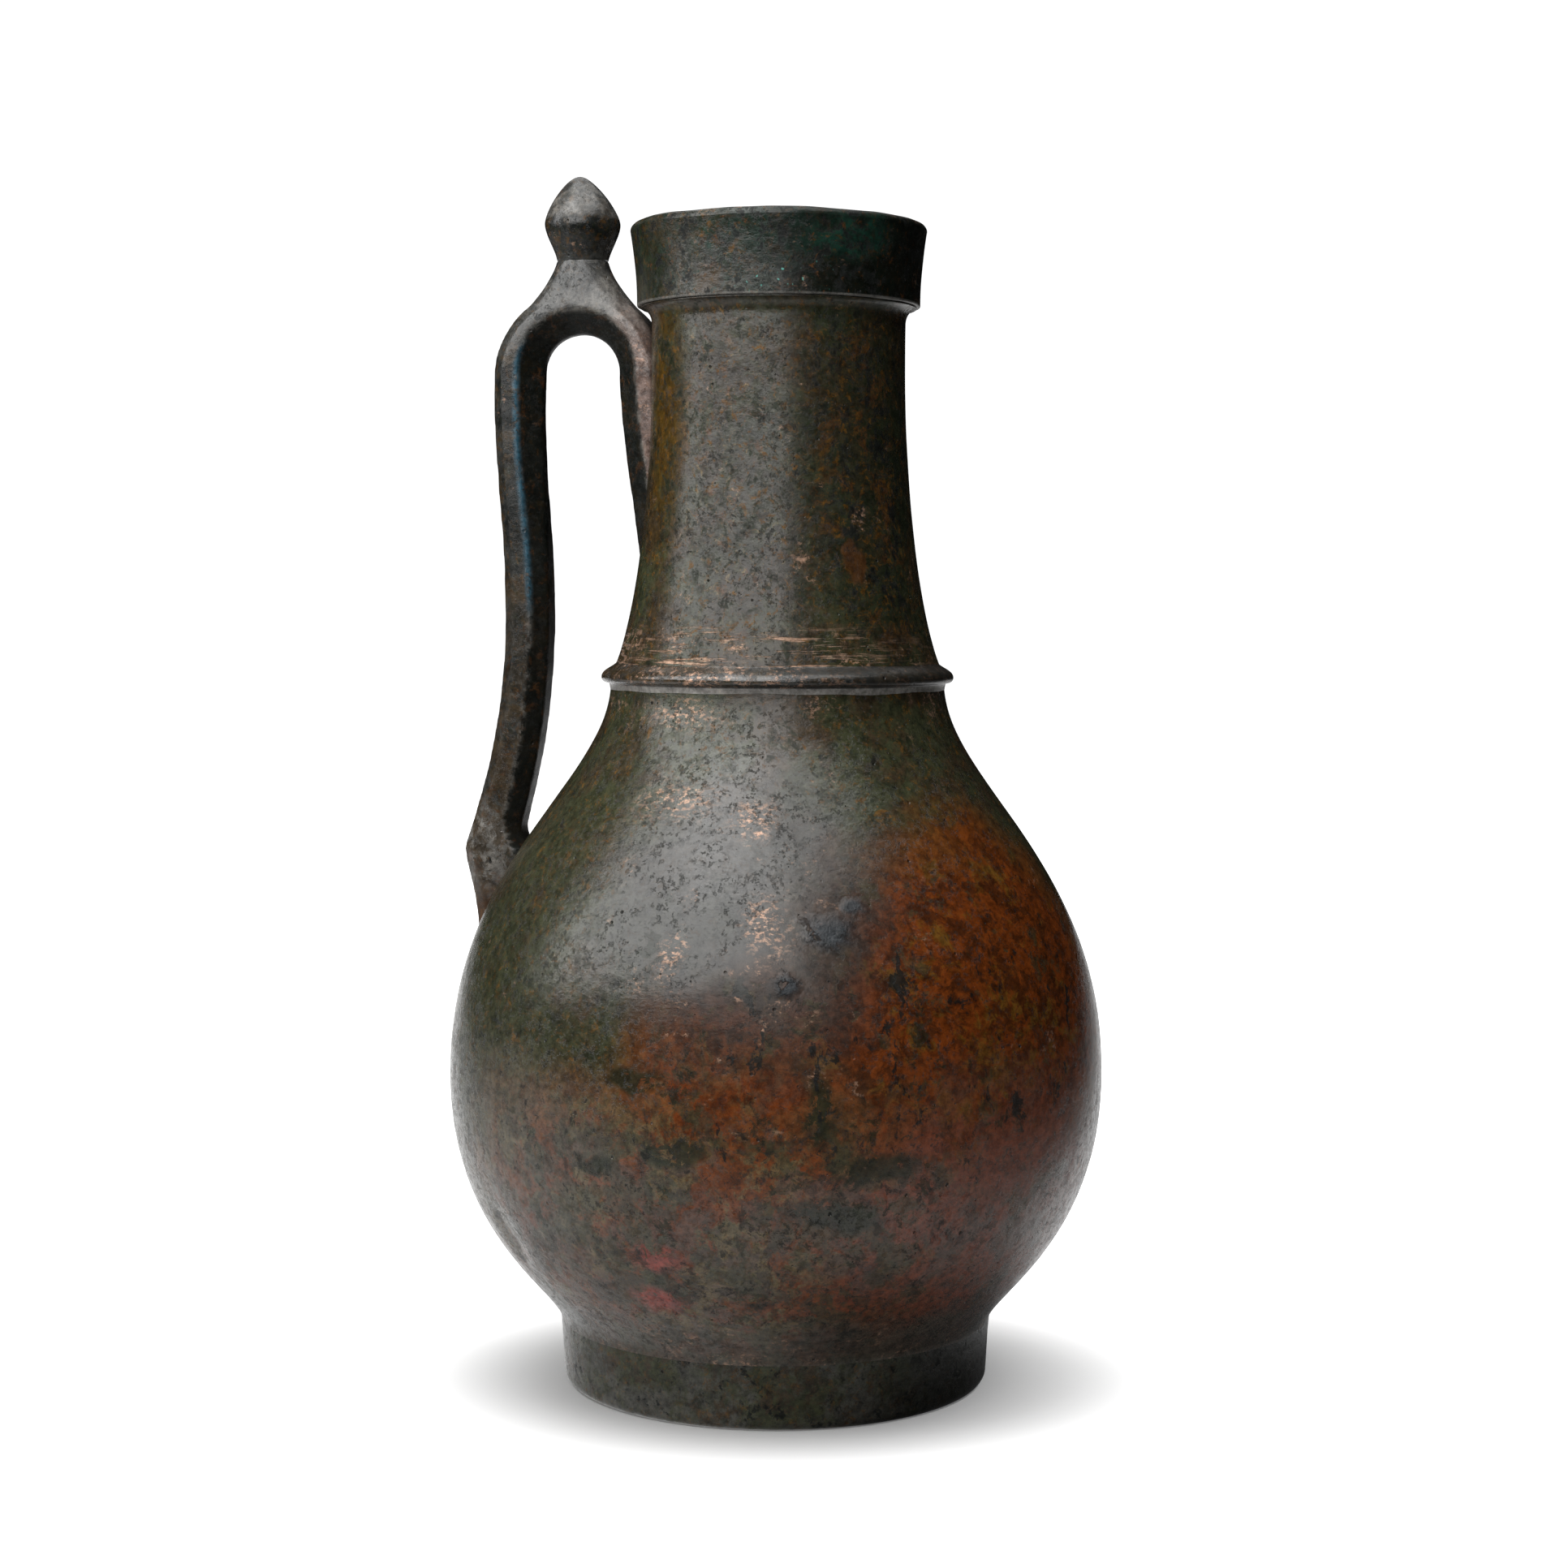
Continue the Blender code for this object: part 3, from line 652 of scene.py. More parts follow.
    def pits(self, size, seed, share):
        """Sink tiny dark pits."""
        pit = 1.0 - self.step(self.cells(size, seed), 0.06, 0.15)
        pit = pit * self.step(self.lumps(size * 4.0, seed + 0.5), 0.44, 0.52) * share
        self.lay(pit * 0.9, SOOT)
        self.relief = self.relief - pit * 0.00035
        self.strip(pit)

    def peppered(self, seed, share=1.0):
        """Sprinkle fine dark grains."""
        grain = self.step(self.lumps(0.0014, seed, 6.0, 0.74), 0.53, 0.62)
        grain = grain * self.step(self.lumps(0.010, seed + 0.3, 6.0, 0.7), 0.40, 0.58)
        self.lay(grain * 0.7 * share, SOOT)
        self.strip(grain * 0.8 * share)
        self.relief = self.relief - grain * 0.00005

    def flecked(self, share, seed):
        """Sprinkle ochre and dark green grains of a millimetre or less."""
        ochre = self.step(self.lumps(0.0019, seed, 7.0, 0.76, self.near), 0.54, 0.62)
        green = self.step(self.lumps(0.0026, seed + 0.2, 8.0, 0.76, self.near), 0.53, 0.60)
        self.lay(ochre * 0.75 * share, OCHRE)
        self.lay(green * 0.8 * share, BLACK_GREEN)
        self.strip(self.most(ochre, green) * 0.8 * share)

    def done(self):
        """Join the layers to a waxed and a bare shader, mixed by where the wax is gone."""
        shade = self.step(self.fine, 0.33, 0.67) * 1.05 + 0.45
        colour = self.mix(1.0, self.colour, self.grey(shade), "MULTIPLY")
        normal = self.node("ShaderNodeBump", None, {"Strength": 1.0, "Distance": 1.0, "Height": self.relief})
        dull = self.tree.nodes.new("ShaderNodeBsdfPrincipled")
        coats = ((self.shader, self.gloss, self.rough), (dull, self.gloss * 0.30, 0.34))
        for shader, gloss, rough in coats:
            self.join(colour, shader.inputs["Base Color"])
            self.join(self.metal, shader.inputs["Metallic"])
            self.join(rough, shader.inputs["Roughness"])
            self.join(normal, shader.inputs["Normal"])
            shader.inputs["Specular IOR Level"].default_value = gloss
        inputs = {0: self.bare, 1: Wire(self, self.shader.outputs[0]), 2: Wire(self, dull.outputs[0])}
        blend = self.node("ShaderNodeMixShader", None, inputs)
        self.join(blend, self.tree.nodes["Material Output"].inputs["Surface"])
        return self


BELLY_RUBS = (                  # turn from the camera, height, half width and half height of a rubbed spot
    (-26.4, 0.1479, 0.0085, 0.0042),
    (-5.1, 0.1444, 0.0046, 0.0038),
    (-1.5, 0.1215, 0.0044, 0.0100),
    (-33.0, 0.1673, 0.0110, 0.0026),
    (-19.0, 0.1150, 0.0028, 0.0080),
)
BELLY_SCABS = (                 # the same for a dark scab
    (-16.5, 0.0709, 0.0080, 0.0036),
    (-29.7, 0.0664, 0.0050, 0.0020),
    (16.8, 0.0675, 0.0100, 0.0036),
    (9.8, 0.0565, 0.0110, 0.0040),
    (-23.5, 0.0872, 0.0070, 0.0036),
    (6.8, 0.0810, 0.0040, 0.0070),
)


def belly_finish():
    """Return the belly's patina: grey-green above, rust to the right, brick and plum below, and a painted
    grey sheen low on the left.
    """
    skin = Patina("belly_patina_and_sheen", UMBER, OLIVE)
    left = skin.region(-62.0, BELLY_R, 0.112, (0.042, 0.042, 0.052))
    skin.mottle(left, OLIVE, 0.016, 11.0, 0.40, 0.5)
    skin.flecked(1.0, 27.0)
    skin.flecked(left * 0.4, 28.0)
    skin.lay(left * 0.08, FOOT_GREY)
    right = skin.region(38.0, 0.072, 0.102, (0.046, 0.052, 0.040), 0.25)
    front = skin.region(4.0, BELLY_R, 0.086, (0.042, 0.040, 0.026), 0.3)
    rust = skin.most(right, front)
    skin.mottle(rust, OCHRE, 0.020, 12.0, 0.30, 0.38)
    skin.mottle(rust, RUST, 0.012, 13.0, 0.42, 0.50)
    skin.mottle(rust, DEEP_RUST, 0.0050, 13.5, 0.47, 0.56)
    low_front = skin.region(-12.0, 0.072, 0.050, (0.066, 0.060, 0.036), 0.4)
    skin.mottle(low_front * 0.75, TAN, 0.019, 14.5, 0.43, 0.50)
    skin.mottle(low_front * 0.85, RUST, 0.013, 14.0, 0.46, 0.52)
    low_right = skin.region(42.0, 0.074, 0.050, (0.036, 0.050, 0.032), 0.45)
    skin.mottle(low_right, BRICK, 0.014, 15.0, 0.40, 0.52)
    low = skin.most(low_right, low_front)
    skin.mottle(low * 0.7, PLUM, 0.014, 16.0, 0.50, 0.55)
    skin.mottle(low_front * 0.7, OLIVE, 0.017, 16.5, 0.51, 0.55)
    skin.mottle(low_front * 0.8, UMBER, 0.010, 16.8, 0.53, 0.56)
    low_left = skin.region(-46.0, 0.074, 0.066, (0.026, 0.026, 0.022))
    # painted sheen: pale grey low on the left, where the belly mirrors the white table
    skin.lay(low_left * 0.22, WEAR_AND_SHEEN_GREY)
    rear = skin.most(skin.region(158.0, BELLY_R, 0.092, (0.052, 0.052, 0.036), 0.3),
                     skin.region(-118.0, 0.076, 0.104, (0.030, 0.036, 0.036), 0.3))
    skin.mottle(rear, OCHRE, 0.018, 12.4, 0.40, 0.48)
    skin.mottle(rear, RUST, 0.011, 13.2, 0.46, 0.53)
    skin.flakes(rear, 0.010, 25.5, 0.55, BLACK_GREEN)
    skin.drips(rear, 0.0060, 25.8, 0.57)
    low_rear = skin.region(168.0, 0.072, 0.050, (0.090, 0.060, 0.036), 0.4)
    skin.mottle(low_rear, TAN, 0.013, 14.8, 0.46, 0.54)
    skin.mottle(low_rear, BRICK, 0.011, 15.5, 0.49, 0.56)
    dark_top = skin.region(-8.0, BELLY_R, 0.128, (0.036, 0.040, 0.036), 0.35)
    skin.lay(dark_top * 0.8, GREY_BRONZE)
    for turn, height in ((-22.0, 0.0452), (-23.5, 0.0336)):
        red = skin.spot(turn, radius_at(BELLY, height), height, (0.0060, 0.005, 0.0032))
        skin.mottle(red * 0.85, CRIMSON, 0.005, 17.5, 0.42, 0.48)
    skin.flakes(rust * 0.6, 0.012, 25.0, 0.555, OLIVE)
    flaky = skin.region(2.0, 0.076, 0.074, (0.080, 0.060, 0.052))
    skin.flakes(flaky * 0.8, 0.010, 17.0, 0.570, BLACK_GREEN)
    skin.lay(skin.spots(BELLY_SCABS, 0.3) * skin.blotches(0.006, 17.8, 0.43, 0.46) * 0.85, BLACK_GREEN)
    skin.drips(skin.most(rust, flaky * 0.6), 0.0060, 18.5, 0.575)
    skin.flakes((1.0 - dark_top) * 0.8, 0.0046, 18.0, 0.585)
    foot_band = skin.below(0.022, 0.031)
    skin.lay(foot_band * 0.6, FOOT_GREY)
    skin.peppered(26.0)
    rubbed = skin.region(-6.0, BELLY_R, 0.128, (0.046, 0.046, 0.060))
    skin.worn(rubbed, 0.010, 19.0, 0.57)
    skin.worn(skin.spots(BELLY_RUBS, 0.8), 0.003, 19.5, 0.26, 0.65)
    skin.worn(1.0, 0.012, 20.0, 0.62)
    skin.worn(skin.above(0.160, 0.170), 0.009, 20.5, 0.51, 0.6)
    skin.worn(foot_band, 0.008, 21.5, 0.50, 0.5)
    for turn, height, size in ((9.3, 0.1198, 0.0056), (15.3, 0.1252, 0.0028), (2.0, 0.1085, 0.0036)):
        crust = skin.spot(turn, radius_at(BELLY, height), height, (size, size, size * 0.75))
        crust = crust * skin.blotches(0.004, 21.0, 0.40, 0.46)
        skin.lay(crust * 0.85, BLUE_BLACK)
        skin.relief = skin.relief + skin.lumps(0.0022, 23.0, 6.0, 0.7) * crust * 0.0006
    skin.pits(0.0036, 22.0, 1.0)
    skin.pits(0.0019, 22.5, 0.8)
    shoulder = skin.above(0.165, 0.171)
    skin.bare = skin.most(skin.bare * (1.0 - dark_top * 0.6), rust * 0.9, shoulder * 0.45)
    skin.swell(0.009, 24.0, 3.0, 0.00026)
    return skin.done()


def neck_finish():
    """Return the neck's patina: dark olive with ochre streaks at its sides and wear above the ring."""
    skin = Patina("neck_patina", UMBER, OLIVE, 0.34)
    skin.rough = skin.rough * 0.6
    middle = skin.region(-15.0, 0.034, 0.220, (0.018, 0.020, 0.050))
    skin.lay(middle * 0.6, GREY_BRONZE)
    skin.mottle(middle * 0.7, OLIVE, 0.006, 38.0, 0.50, 0.57)
    skin.mottle(middle * 0.8, EARTH, 0.004, 38.5, 0.55, 0.61)
    skin.mottle(middle * 0.6, TAN, 0.0018, 38.8, 0.57, 0.60)
    left = skin.spot(-58.0, 0.033, 0.240, (0.006, 0.010, 0.034))
    skin.mottle(left * 0.9, OLD_OCHRE, 0.005, 31.0, 0.40, 0.50)
    skin.mottle(left * 0.7, OCHRE, 0.0030, 31.3, 0.54, 0.60)
    right = skin.region(48.0, 0.034, 0.222, (0.020, 0.022, 0.048))
    skin.lay(right * 0.6, BLACK_GREEN)
    skin.mottle(right * 0.8, EARTH, 0.008, 32.0, 0.51, 0.57)
    rear = skin.region(165.0, 0.034, 0.220, (0.026, 0.030, 0.044))
    skin.mottle(rear * 0.8, OCHRE, 0.008, 31.6, 0.51, 0.57)
    skin.flecked(1.0, 41.5)
    skin.flecked(right, 42.5)
    skin.flakes(skin.most(right, left), 0.009, 33.0, 0.53, BLACK_GREEN)
    skin.flakes(right, 0.0042, 33.5, 0.545)
    skin.drips(right, 0.0050, 40.5, 0.56)
    skin.flakes(1.0, 0.0040, 40.0, 0.60)
    scar = skin.spot(31.3, radius_at(NECK, 0.2043), 0.2043, (0.0030, 0.004, 0.0046), 0.2)
    skin.lay(scar * 0.9, EARTH)
    skin.peppered(30.0)
    low = skin.below(0.183, 0.190)
    skin.worn(low, 0.007, 34.0, 0.50)
    turned_right = skin.region(62.0, 0.040, 0.184, (0.030, 0.030, 0.030))
    skin.turned_lines(skin.below(0.184, 0.190) * (1.0 - turned_right * 0.75), 37.0)
    skin.worn(1.0, 0.010, 35.0, 0.58)
    skin.pits(0.0030, 36.0, 1.0)
    skin.pits(0.0017, 36.5, 0.8)
    skin.strip(right * 0.7, left * 0.7)
    skin.soldered(skin.above(NECK_TOP_HEIGHT - 0.0022, NECK_TOP_HEIGHT - 0.0014) * 0.05, 39.5)
    skin.swell(0.008, 39.0, 3.0, 0.00018)
    return skin.done()


def collar_finish():
    """Return the collar's patina: the greenest piece, with turquoise grains above its lower edge and painted
    shade on its right.
    """
    skin = Patina("collar_patina_and_shade", GREY_BRONZE, BLACK_GREEN, 0.39)
    skin.rough = skin.rough * 0.7
    skin.mottle(1.0, UMBER, 0.007, 41.0, 0.51, 0.58)
    green = skin.spot(20.0, 0.036, 0.281, (0.026, 0.02, 0.009))
    skin.mottle(green, VERDIGRIS, 0.005, 42.0, 0.44, 0.52)
    teal = skin.spot(30.0, 0.036, 0.2805, (0.011, 0.011, 0.006))
    skin.mottle(teal * 0.8, TEAL, 0.004, 42.5, 0.44, 0.52)
    skin.mottle(1.0, VERDIGRIS, 0.004, 50.5, 0.53, 0.60)
    skin.flecked(0.8, 48.5)
    painted_shade = skin.spot(52.0, 0.036, 0.276, (0.031, 0.031, 0.030))
    # painted shade: near-black green over the collar's right side, away from the softbox
    skin.lay(painted_shade * (0.9 - teal * 0.4), PAINTED_SHADE_GREEN)
    left_end = skin.spot(-74.0, 0.036, 0.276, (0.017, 0.017, 0.026))
    skin.lay(left_end * 0.6, BLACK_GREEN)
    skin.mottle(left_end * 0.3, OCHRE, 0.003, 47.5, 0.54, 0.60)
    skin.mottle(1.0, EARTH, 0.0030, 48.0, 0.57, 0.63)
    skin.flakes(1.0, 0.0050, 43.0, 0.54, SOOT)
    grains = skin.spot(6.0, 0.035, 0.2705, (0.011, 0.010, 0.004))
    skin.specks(grains, TURQUOISE, 0.0013, 44.0, 0.26)
    skin.specks(1.0, TURQUOISE, 0.0050, 45.0, 0.06)
    skin.worn(1.0, 0.008, 46.0, 0.58)
    skin.peppered(40.5)
    skin.pits(0.0026, 47.0, 1.0)
    skin.strip(painted_shade, left_end * 0.8)
    skin.soldered(skin.below(COLLAR_BOTTOM + 0.0004, COLLAR_BOTTOM + 0.0009) * 0.36, 49.5)
    skin.worn(skin.above(LIP_TOP - 0.0022, LIP_TOP - 0.0012), 0.005, 46.5, 0.50, 0.5)
    skin.swell(0.004, 49.0, 5.0, 0.00022)
    return skin.done()


def plain_finish(name, first, second, seed, wear_cut, gloss=0.5):
    """Return a patina without regions, for a small or dark piece."""
    skin = Patina(name, first, second, gloss)
    skin.mottle(1.0, UMBER, 0.008, seed, 0.50, 0.58)
    skin.flecked(0.6, seed + 7.0)
    skin.flakes(1.0, 0.005, seed + 1.0, 0.57)
    skin.peppered(seed + 6.0)
    skin.worn(1.0, 0.008, seed + 2.0, wear_cut)
    skin.pits(0.0032, seed + 3.0, 1.0)
    skin.swell(0.006, seed + 5.0, 3.0, 0.00016)
    return skin


def handle_finish():
    """Return the handle's patina: waxed dark grey, painted shade inside the loop, painted sheen on the crown
    and beside it and on the knee, a blue arris and a rusty tail.
    """
    skin = plain_finish("handle_patina_shade_and_sheen", GREY_BRONZE, SOOT, 50.0, 0.58, 0.50)
    inner_side = skin.painted("inner_side")
    face = 1.0 - inner_side
    crown = skin.patch((-ARCH_X, -0.007, 0.270), (0.026, 0.010, 0.016), skin.near) * face
    # painted sheen on the crown's face, where it mirrors the lights, with rubbed wear laid over it
    skin.lay(crown * 0.4, CROWN_GREY)
    skin.mottle(crown * 0.4, WEAR_AND_SHEEN_GREY, 0.003, 55.5, 0.52, 0.58)
    skin.peppered(54.5, crown)
    shoulder = skin.patch((0.013 - ARCH_X, -0.007, 0.268), (0.009, 0.010, 0.009), skin.near) * face
    # painted highlight on the crown's right shoulder, partly rubbed wear
    skin.mottle(shoulder * 0.7, WEAR_AND_SHEEN_GREY, 0.003, 55.2, 0.42, 0.50)
    knee = skin.patch((-0.077, -0.006, 0.131), (0.010, 0.010, 0.011), skin.near) * face
    # painted highlight on the knee's bend, partly rubbed wear
    skin.mottle(knee, WEAR_AND_SHEEN_GREY, 0.003, 55.8, 0.40, 0.48)
    lower = skin.below(0.150, 0.215) * face
    skin.mottle(lower * 0.3, CROWN_GREY, 0.006, 56.0, 0.50, 0.58)
    skin.mottle(lower * 0.8, UMBER, 0.007, 56.5, 0.46, 0.53)
    skin.mottle(lower * 0.5, EARTH, 0.004, 56.8, 0.53, 0.58)
    tail = skin.below(0.112, 0.126)
    skin.mottle(tail * 0.9, EARTH, 0.006, 57.0, 0.38, 0.47)
    skin.mottle(tail * 0.5, OCHRE, 0.003, 57.5, 0.53, 0.58)
    arm = skin.patch((-0.036, -0.006, 0.240), (0.008, 0.010, 0.024), skin.near) * face
    skin.lay(arm * 0.6, ARM_GREY)
    skin.mottle(arm, PLUM, 0.006, 60.5, 0.50, 0.56)
    skin.worn(arm, 0.006, 59.0, 0.48, 0.6)
    # painted shade: near-black on the bevel that faces into the loop, towards the neck
    skin.lay(inner_side * 0.8, PAINTED_SHADE_GREEN)
    skin.mottle(inner_side * 0.5, EARTH, 0.004, 61.0, 0.54, 0.60)
    arris = skin.painted("arris")
    skin.mottle(arris * 0.5, WEAR_AND_SHEEN_GREY, 0.004, 58.5, 0.46, 0.54)
    grip = skin.above(0.188, 0.198) * skin.below(0.250, 0.262)
    outer = 1.0 - skin.step(skin.x, -0.052, -0.050)
    skin.mottle(arris * grip * outer, ARRIS_BLUE, 0.004, 58.0, 0.40, 0.50)
    dull = 1.0 - skin.most(crown, knee, arm)
    skin.bare = skin.most(skin.bare * (1.0 - crown * 0.5), dull * 0.65, inner_side)
    return skin.done()


def make_foot():
    """Build the foot ring."""
    bottom_r = FOOT_TOP_R - FOOT_TAPER
    inner_r = base_high.x - FOOT_REBATE
    seat = belly_low.z + LAP / 2
    outline = rounded((bottom_r - FOOT_EDGE, FOOT_EDGE), FOOT_EDGE, -90.0, 0.0)
    outline += straight((bottom_r, FOOT_EDGE), (FOOT_TOP_R, seat), 28)[1:]
    ledge_r = FOOT_TOP_R - FOOT_LEDGE
    rim_r = FOOT_TOP_R - FOOT_RIM
    outline += [Vector((ledge_r, seat)), Vector((ledge_r, foot_high.z))]
    outline += straight((rim_r, foot_high.z), (rim_r, base_low.z), 6)
    outline += straight((inner_r, base_low.z), (inner_r, FOOT_INNER_EDGE), 8)
    outline += rounded((inner_r + FOOT_INNER_EDGE, FOOT_INNER_EDGE), FOOT_INNER_EDGE, 180.0, 270.0, 4)[1:]
    bm = spin_outline(outline, True)

    def depth(place, normal):
        ends = smooth_step(0.0, 0.002, place.z) * (1.0 - smooth_step(seat - 0.004, seat, place.z))
        return dents(place, (0.00007, 0.014, 1.0)) * ends

    press_in(bm, depth)
    skin = plain_finish("foot_patina_and_shade", FOOT_GREY, OLIVE, 60.0, 0.62, 0.25)
    painted_shade = skin.spot(66.0, FOOT_TOP_R, 0.008, (0.032, 0.032, 0.030))
    # painted shade: near-black green over the foot's right side, away from the softbox
    skin.lay(painted_shade * 0.75, PAINTED_SHADE_GREEN)
    return finish_piece("foot", bm, skin.done(), "foot_ring")


def make_base():
    """Build the base plate with its turning rings."""
    radius = base_high.x
    under = []
    for i in range(BASE_STEPS + 1):
        share = i / BASE_STEPS
        groove = BASE_GROOVE * math.sin(share * BASE_RINGS) ** 8
        under.append(Vector((radius * share, base_low.z + groove)))
    upper = straight((radius, base_high.z), (0.0, base_high.z), 20)
    bm = spin_outline(under + upper, False, 120)
    return finish_piece("base", bm, plain_finish("base_patina", UMBER, GREY_BRONZE, 70.0, 0.58).done(),
                        "base_plate")


def make_belly():
    """Build the belly wall with its uneven surface and the dent low on its left."""
    inner = offset(BELLY, -WALL)[::2]
    inner[0] = Vector((FOOT_TOP_R - FOOT_LEDGE, belly_low.z))
    inner[-1] = Vector((SEAM_R - WALL, SEAM_HEIGHT))
    bm = spin_outline(BELLY + inner[::-1], True)
    dent = facing(DENT_TURN, DENT_R, DENT_HEIGHT)
    along = facing(DENT_TURN, DENT_SLANT, 1.0).normalized()
    across = along.cross(dent).normalized()

    def depth(place, normal):
        if faces_axis(place, normal):
            return 0.0
        ends = smooth_step(belly_low.z, belly_low.z + 0.010, place.z)
        ends *= 1.0 - smooth_step(SEAM_HEIGHT - 0.012, SEAM_HEIGHT, place.z)
        reach = place - dent
        hollow = math.exp(-(reach.dot(along) / DENT_LENGTH) ** 2 - (reach.dot(across) / DENT_WIDTH) ** 2)
        return dents(place, (0.00016, 0.030, 2.0), (0.00005, 0.009, 3.0)) * ends + DENT_DEPTH * hollow

    press_in(bm, depth)
    return finish_piece("belly", bm, belly_finish(), "belly_shell")


def make_neck():
    """Build the neck, lapped inside the belly and the collar."""
    spigot_r = SEAM_R - WALL - LAP
    inner = [point for point in offset(BELOW_HOLLOW, -WALL)[::2] if point.x < spigot_r - WALL / 2]
    outline = [Vector((spigot_r, SEAM_HEIGHT - SPIGOT_DEPTH)), Vector((spigot_r, SEAM_HEIGHT))] + NECK
    outline += [Vector((NECK[-1].x, NECK_TOP_HEIGHT + LAP)), Vector((BORE_R, NECK_TOP_HEIGHT + LAP))]
    outline += inner[::-1] + [Vector((spigot_r - WALL, SEAM_HEIGHT - SPIGOT_DEPTH))]
    bm = spin_outline(outline, True)

    def depth(place, normal):
        if faces_axis(place, normal):
            return 0.0
        ends = smooth_step(SEAM_HEIGHT, SEAM_HEIGHT + 0.006, place.z)
        return dents(place, (0.00010, 0.022, 4.0), (0.00004, 0.007, 5.0)) * ends

    press_in(bm, depth)
    return finish_piece("neck", bm, neck_finish(), "neck_tube")


def make_ring():
    """Build the bead round the seam, swept up into the neck and sloping in to the belly below."""
    low, high = ring_low.z, ring_high.z
    low_r = radius_at(BELLY, low) - LAP / 2
    high_r = radius_at(NECK, high) - LAP / 2
    bead_low = low + RING_HOLLOW
    bead_mid = bead_low + RING_ROUND
    bead_r = ring_high.x
    corner = (low_r + LAP, bead_low)
    outline = curve((low_r, low), corner, corner, (bead_r - RING_ROUND, bead_low), 12)
    outline += rounded((bead_r - RING_ROUND, bead_mid), RING_ROUND, -90.0, 0.0)[1:]
    outline += curve((bead_r, bead_mid), (bead_r, bead_mid + RING_CREST), (high_r + LAP, high - RING_EASE),
                     (high_r, high), 20)[1:]
    outline += [Vector((min(low_r, high_r) - LAP, (low + high) / 2))]
    bm = spin_outline(outline, True)

    def depth(place, normal):
        return 0.0 if faces_axis(place, normal) else dents(place, (0.00010, 0.012, 6.0))

    press_in(bm, depth)
    skin = plain_finish("ring_patina_and_shade", GREY_BRONZE, UMBER, 80.0, 0.45, 0.80)
    painted_shade = skin.spot(58.0, ring_high.x, ring_high.z, (0.036, 0.036, 0.030))
    # painted shade: soot over the ring's right side, away from the softbox
    skin.lay(painted_shade * 0.7, SOOT)
    skin.bare = skin.most(skin.bare * 0.6, painted_shade * 0.8)
    skin.soldered(skin.below(bead_low - 0.0005, bead_low - 0.0001), 88.0)
    return finish_piece("ring", bm, skin.done(), "neck_ring")


def make_collar():
    """Build the mouth collar with its worn, wavy lip."""
    side_low = (COLLAR_R, COLLAR_BOTTOM + COLLAR_EDGE)
    side_high = (LIP_R, LIP_TOP - LIP_EDGE)
    outline = straight((NECK_R - LAP, COLLAR_BOTTOM), (COLLAR_R - COLLAR_EDGE, COLLAR_BOTTOM), 6)
    outline += rounded((COLLAR_R - COLLAR_EDGE, COLLAR_BOTTOM + COLLAR_EDGE), COLLAR_EDGE, -90.0, 0.0, 6)[1:]
    outline += curve(side_low, (COLLAR_R, side_low[1] + COLLAR_RISE), side_high, side_high, 44)[1:]
    outline += rounded((LIP_R - LIP_EDGE, LIP_TOP - LIP_EDGE), LIP_EDGE, 0.0, 90.0, 10)[1:]
    outline += straight((LIP_R - LIP_EDGE, LIP_TOP), (LIP_R - LIP_WIDTH, LIP_TOP), 6)[1:]
    outline += straight((LIP_R - LIP_WIDTH, LIP_TOP), (BORE_R, LIP_TOP - LIP_SLOPE), 10)[1:]
    outline += straight((BORE_R, LIP_TOP - LIP_SLOPE), (BORE_R, COLLAR_BOTTOM), 20)[1:]
    bm = spin_outline(outline, True)

    def depth(place, normal):
        return 0.0 if faces_axis(place, normal) else dents(place, (0.00012, 0.011, 7.0))

    press_in(bm, depth)
    for vert in bm.verts:
        near_lip = smooth_step(LIP_TOP - 0.008, LIP_TOP, vert.co.z)
        round_lip = Vector((vert.co.x, vert.co.y, 0.0))
        vert.co.z -= dents(round_lip, (0.00028, 0.016, 8.0), (0.00012, 0.005, 9.0)) * near_lip
    return finish_piece("collar", bm, collar_finish(), "mouth_collar")


def handle_path():
    """Return the bar's centre line as (kind, point) pairs, from the arm's tip to the tail's end."""
    arm = []
    for i in range(ARM_STEPS):
        share = i / ARM_STEPS
        height = ARCH_HEIGHT - ARM_LENGTH * (1.0 - share)
        stand = ARM_TIP_PROUD + (ARM_DEPTH - ARM_TIP_PROUD) * math.sin(share * math.pi / 2)
        arm.append(Vector((radius_at(NECK, height) + stand - BAR_DEPTH / 2, height)))
    arch = rounded((ARCH_X, ARCH_HEIGHT), ARCH_MID_R, 180.0, 0.0, ARCH_STEPS)
    tail = []
    for i in range(TAIL_STEPS + 1):
        share = i / TAIL_STEPS
        height = KNEE_HEIGHT - TAIL_LENGTH * share
        stand = TAIL_PROUD + (KNEE_STAND - TAIL_PROUD) * (1.0 - share) ** TAIL_EASE
        tail.append(Vector((radius_at(BELLY, height) + stand - BAR_DEPTH / 2, height)))
    top = arch[-1]
    waist = Vector((top.x - GRIP_SET_IN, GRIP_WAIST_HEIGHT))
    bend = Vector((0.0, GRIP_FULLNESS))
    lean = Vector((-math.sin(KNEE_LEAN), math.cos(KNEE_LEAN))) * KNEE_FULLNESS
    grip = curve(top, top - bend, waist + bend, waist, 24)[1:]
    grip += curve(waist, waist - bend, tail[0] + lean, tail[0], 32)[1:-1]
    path = [("arm", point) for point in arm]
    path += [("arch", point) for point in arch]
    return path + [("grip", point) for point in grip] + [("tail", point) for point in tail]


def bar_section(centre, outward, inner_depth, width, bevel):
    """Return the eight corners of the bar's section at one point of its centre line."""
    outer_depth = BAR_DEPTH / 2
    scale = width / BAR_WIDTH
    half = width / 2
    corners = [(outer_depth, half - OUTER_BEVEL * scale), (outer_depth - OUTER_BEVEL, half),
               (bevel - inner_depth, half), (-inner_depth, half - bevel * scale)]
    corners += [(depth, -side) for depth, side in corners[::-1]]
    places = [(centre + outward * depth, side) for depth, side in corners]
    return [(-place.x, side, place.y) for place, side in places]


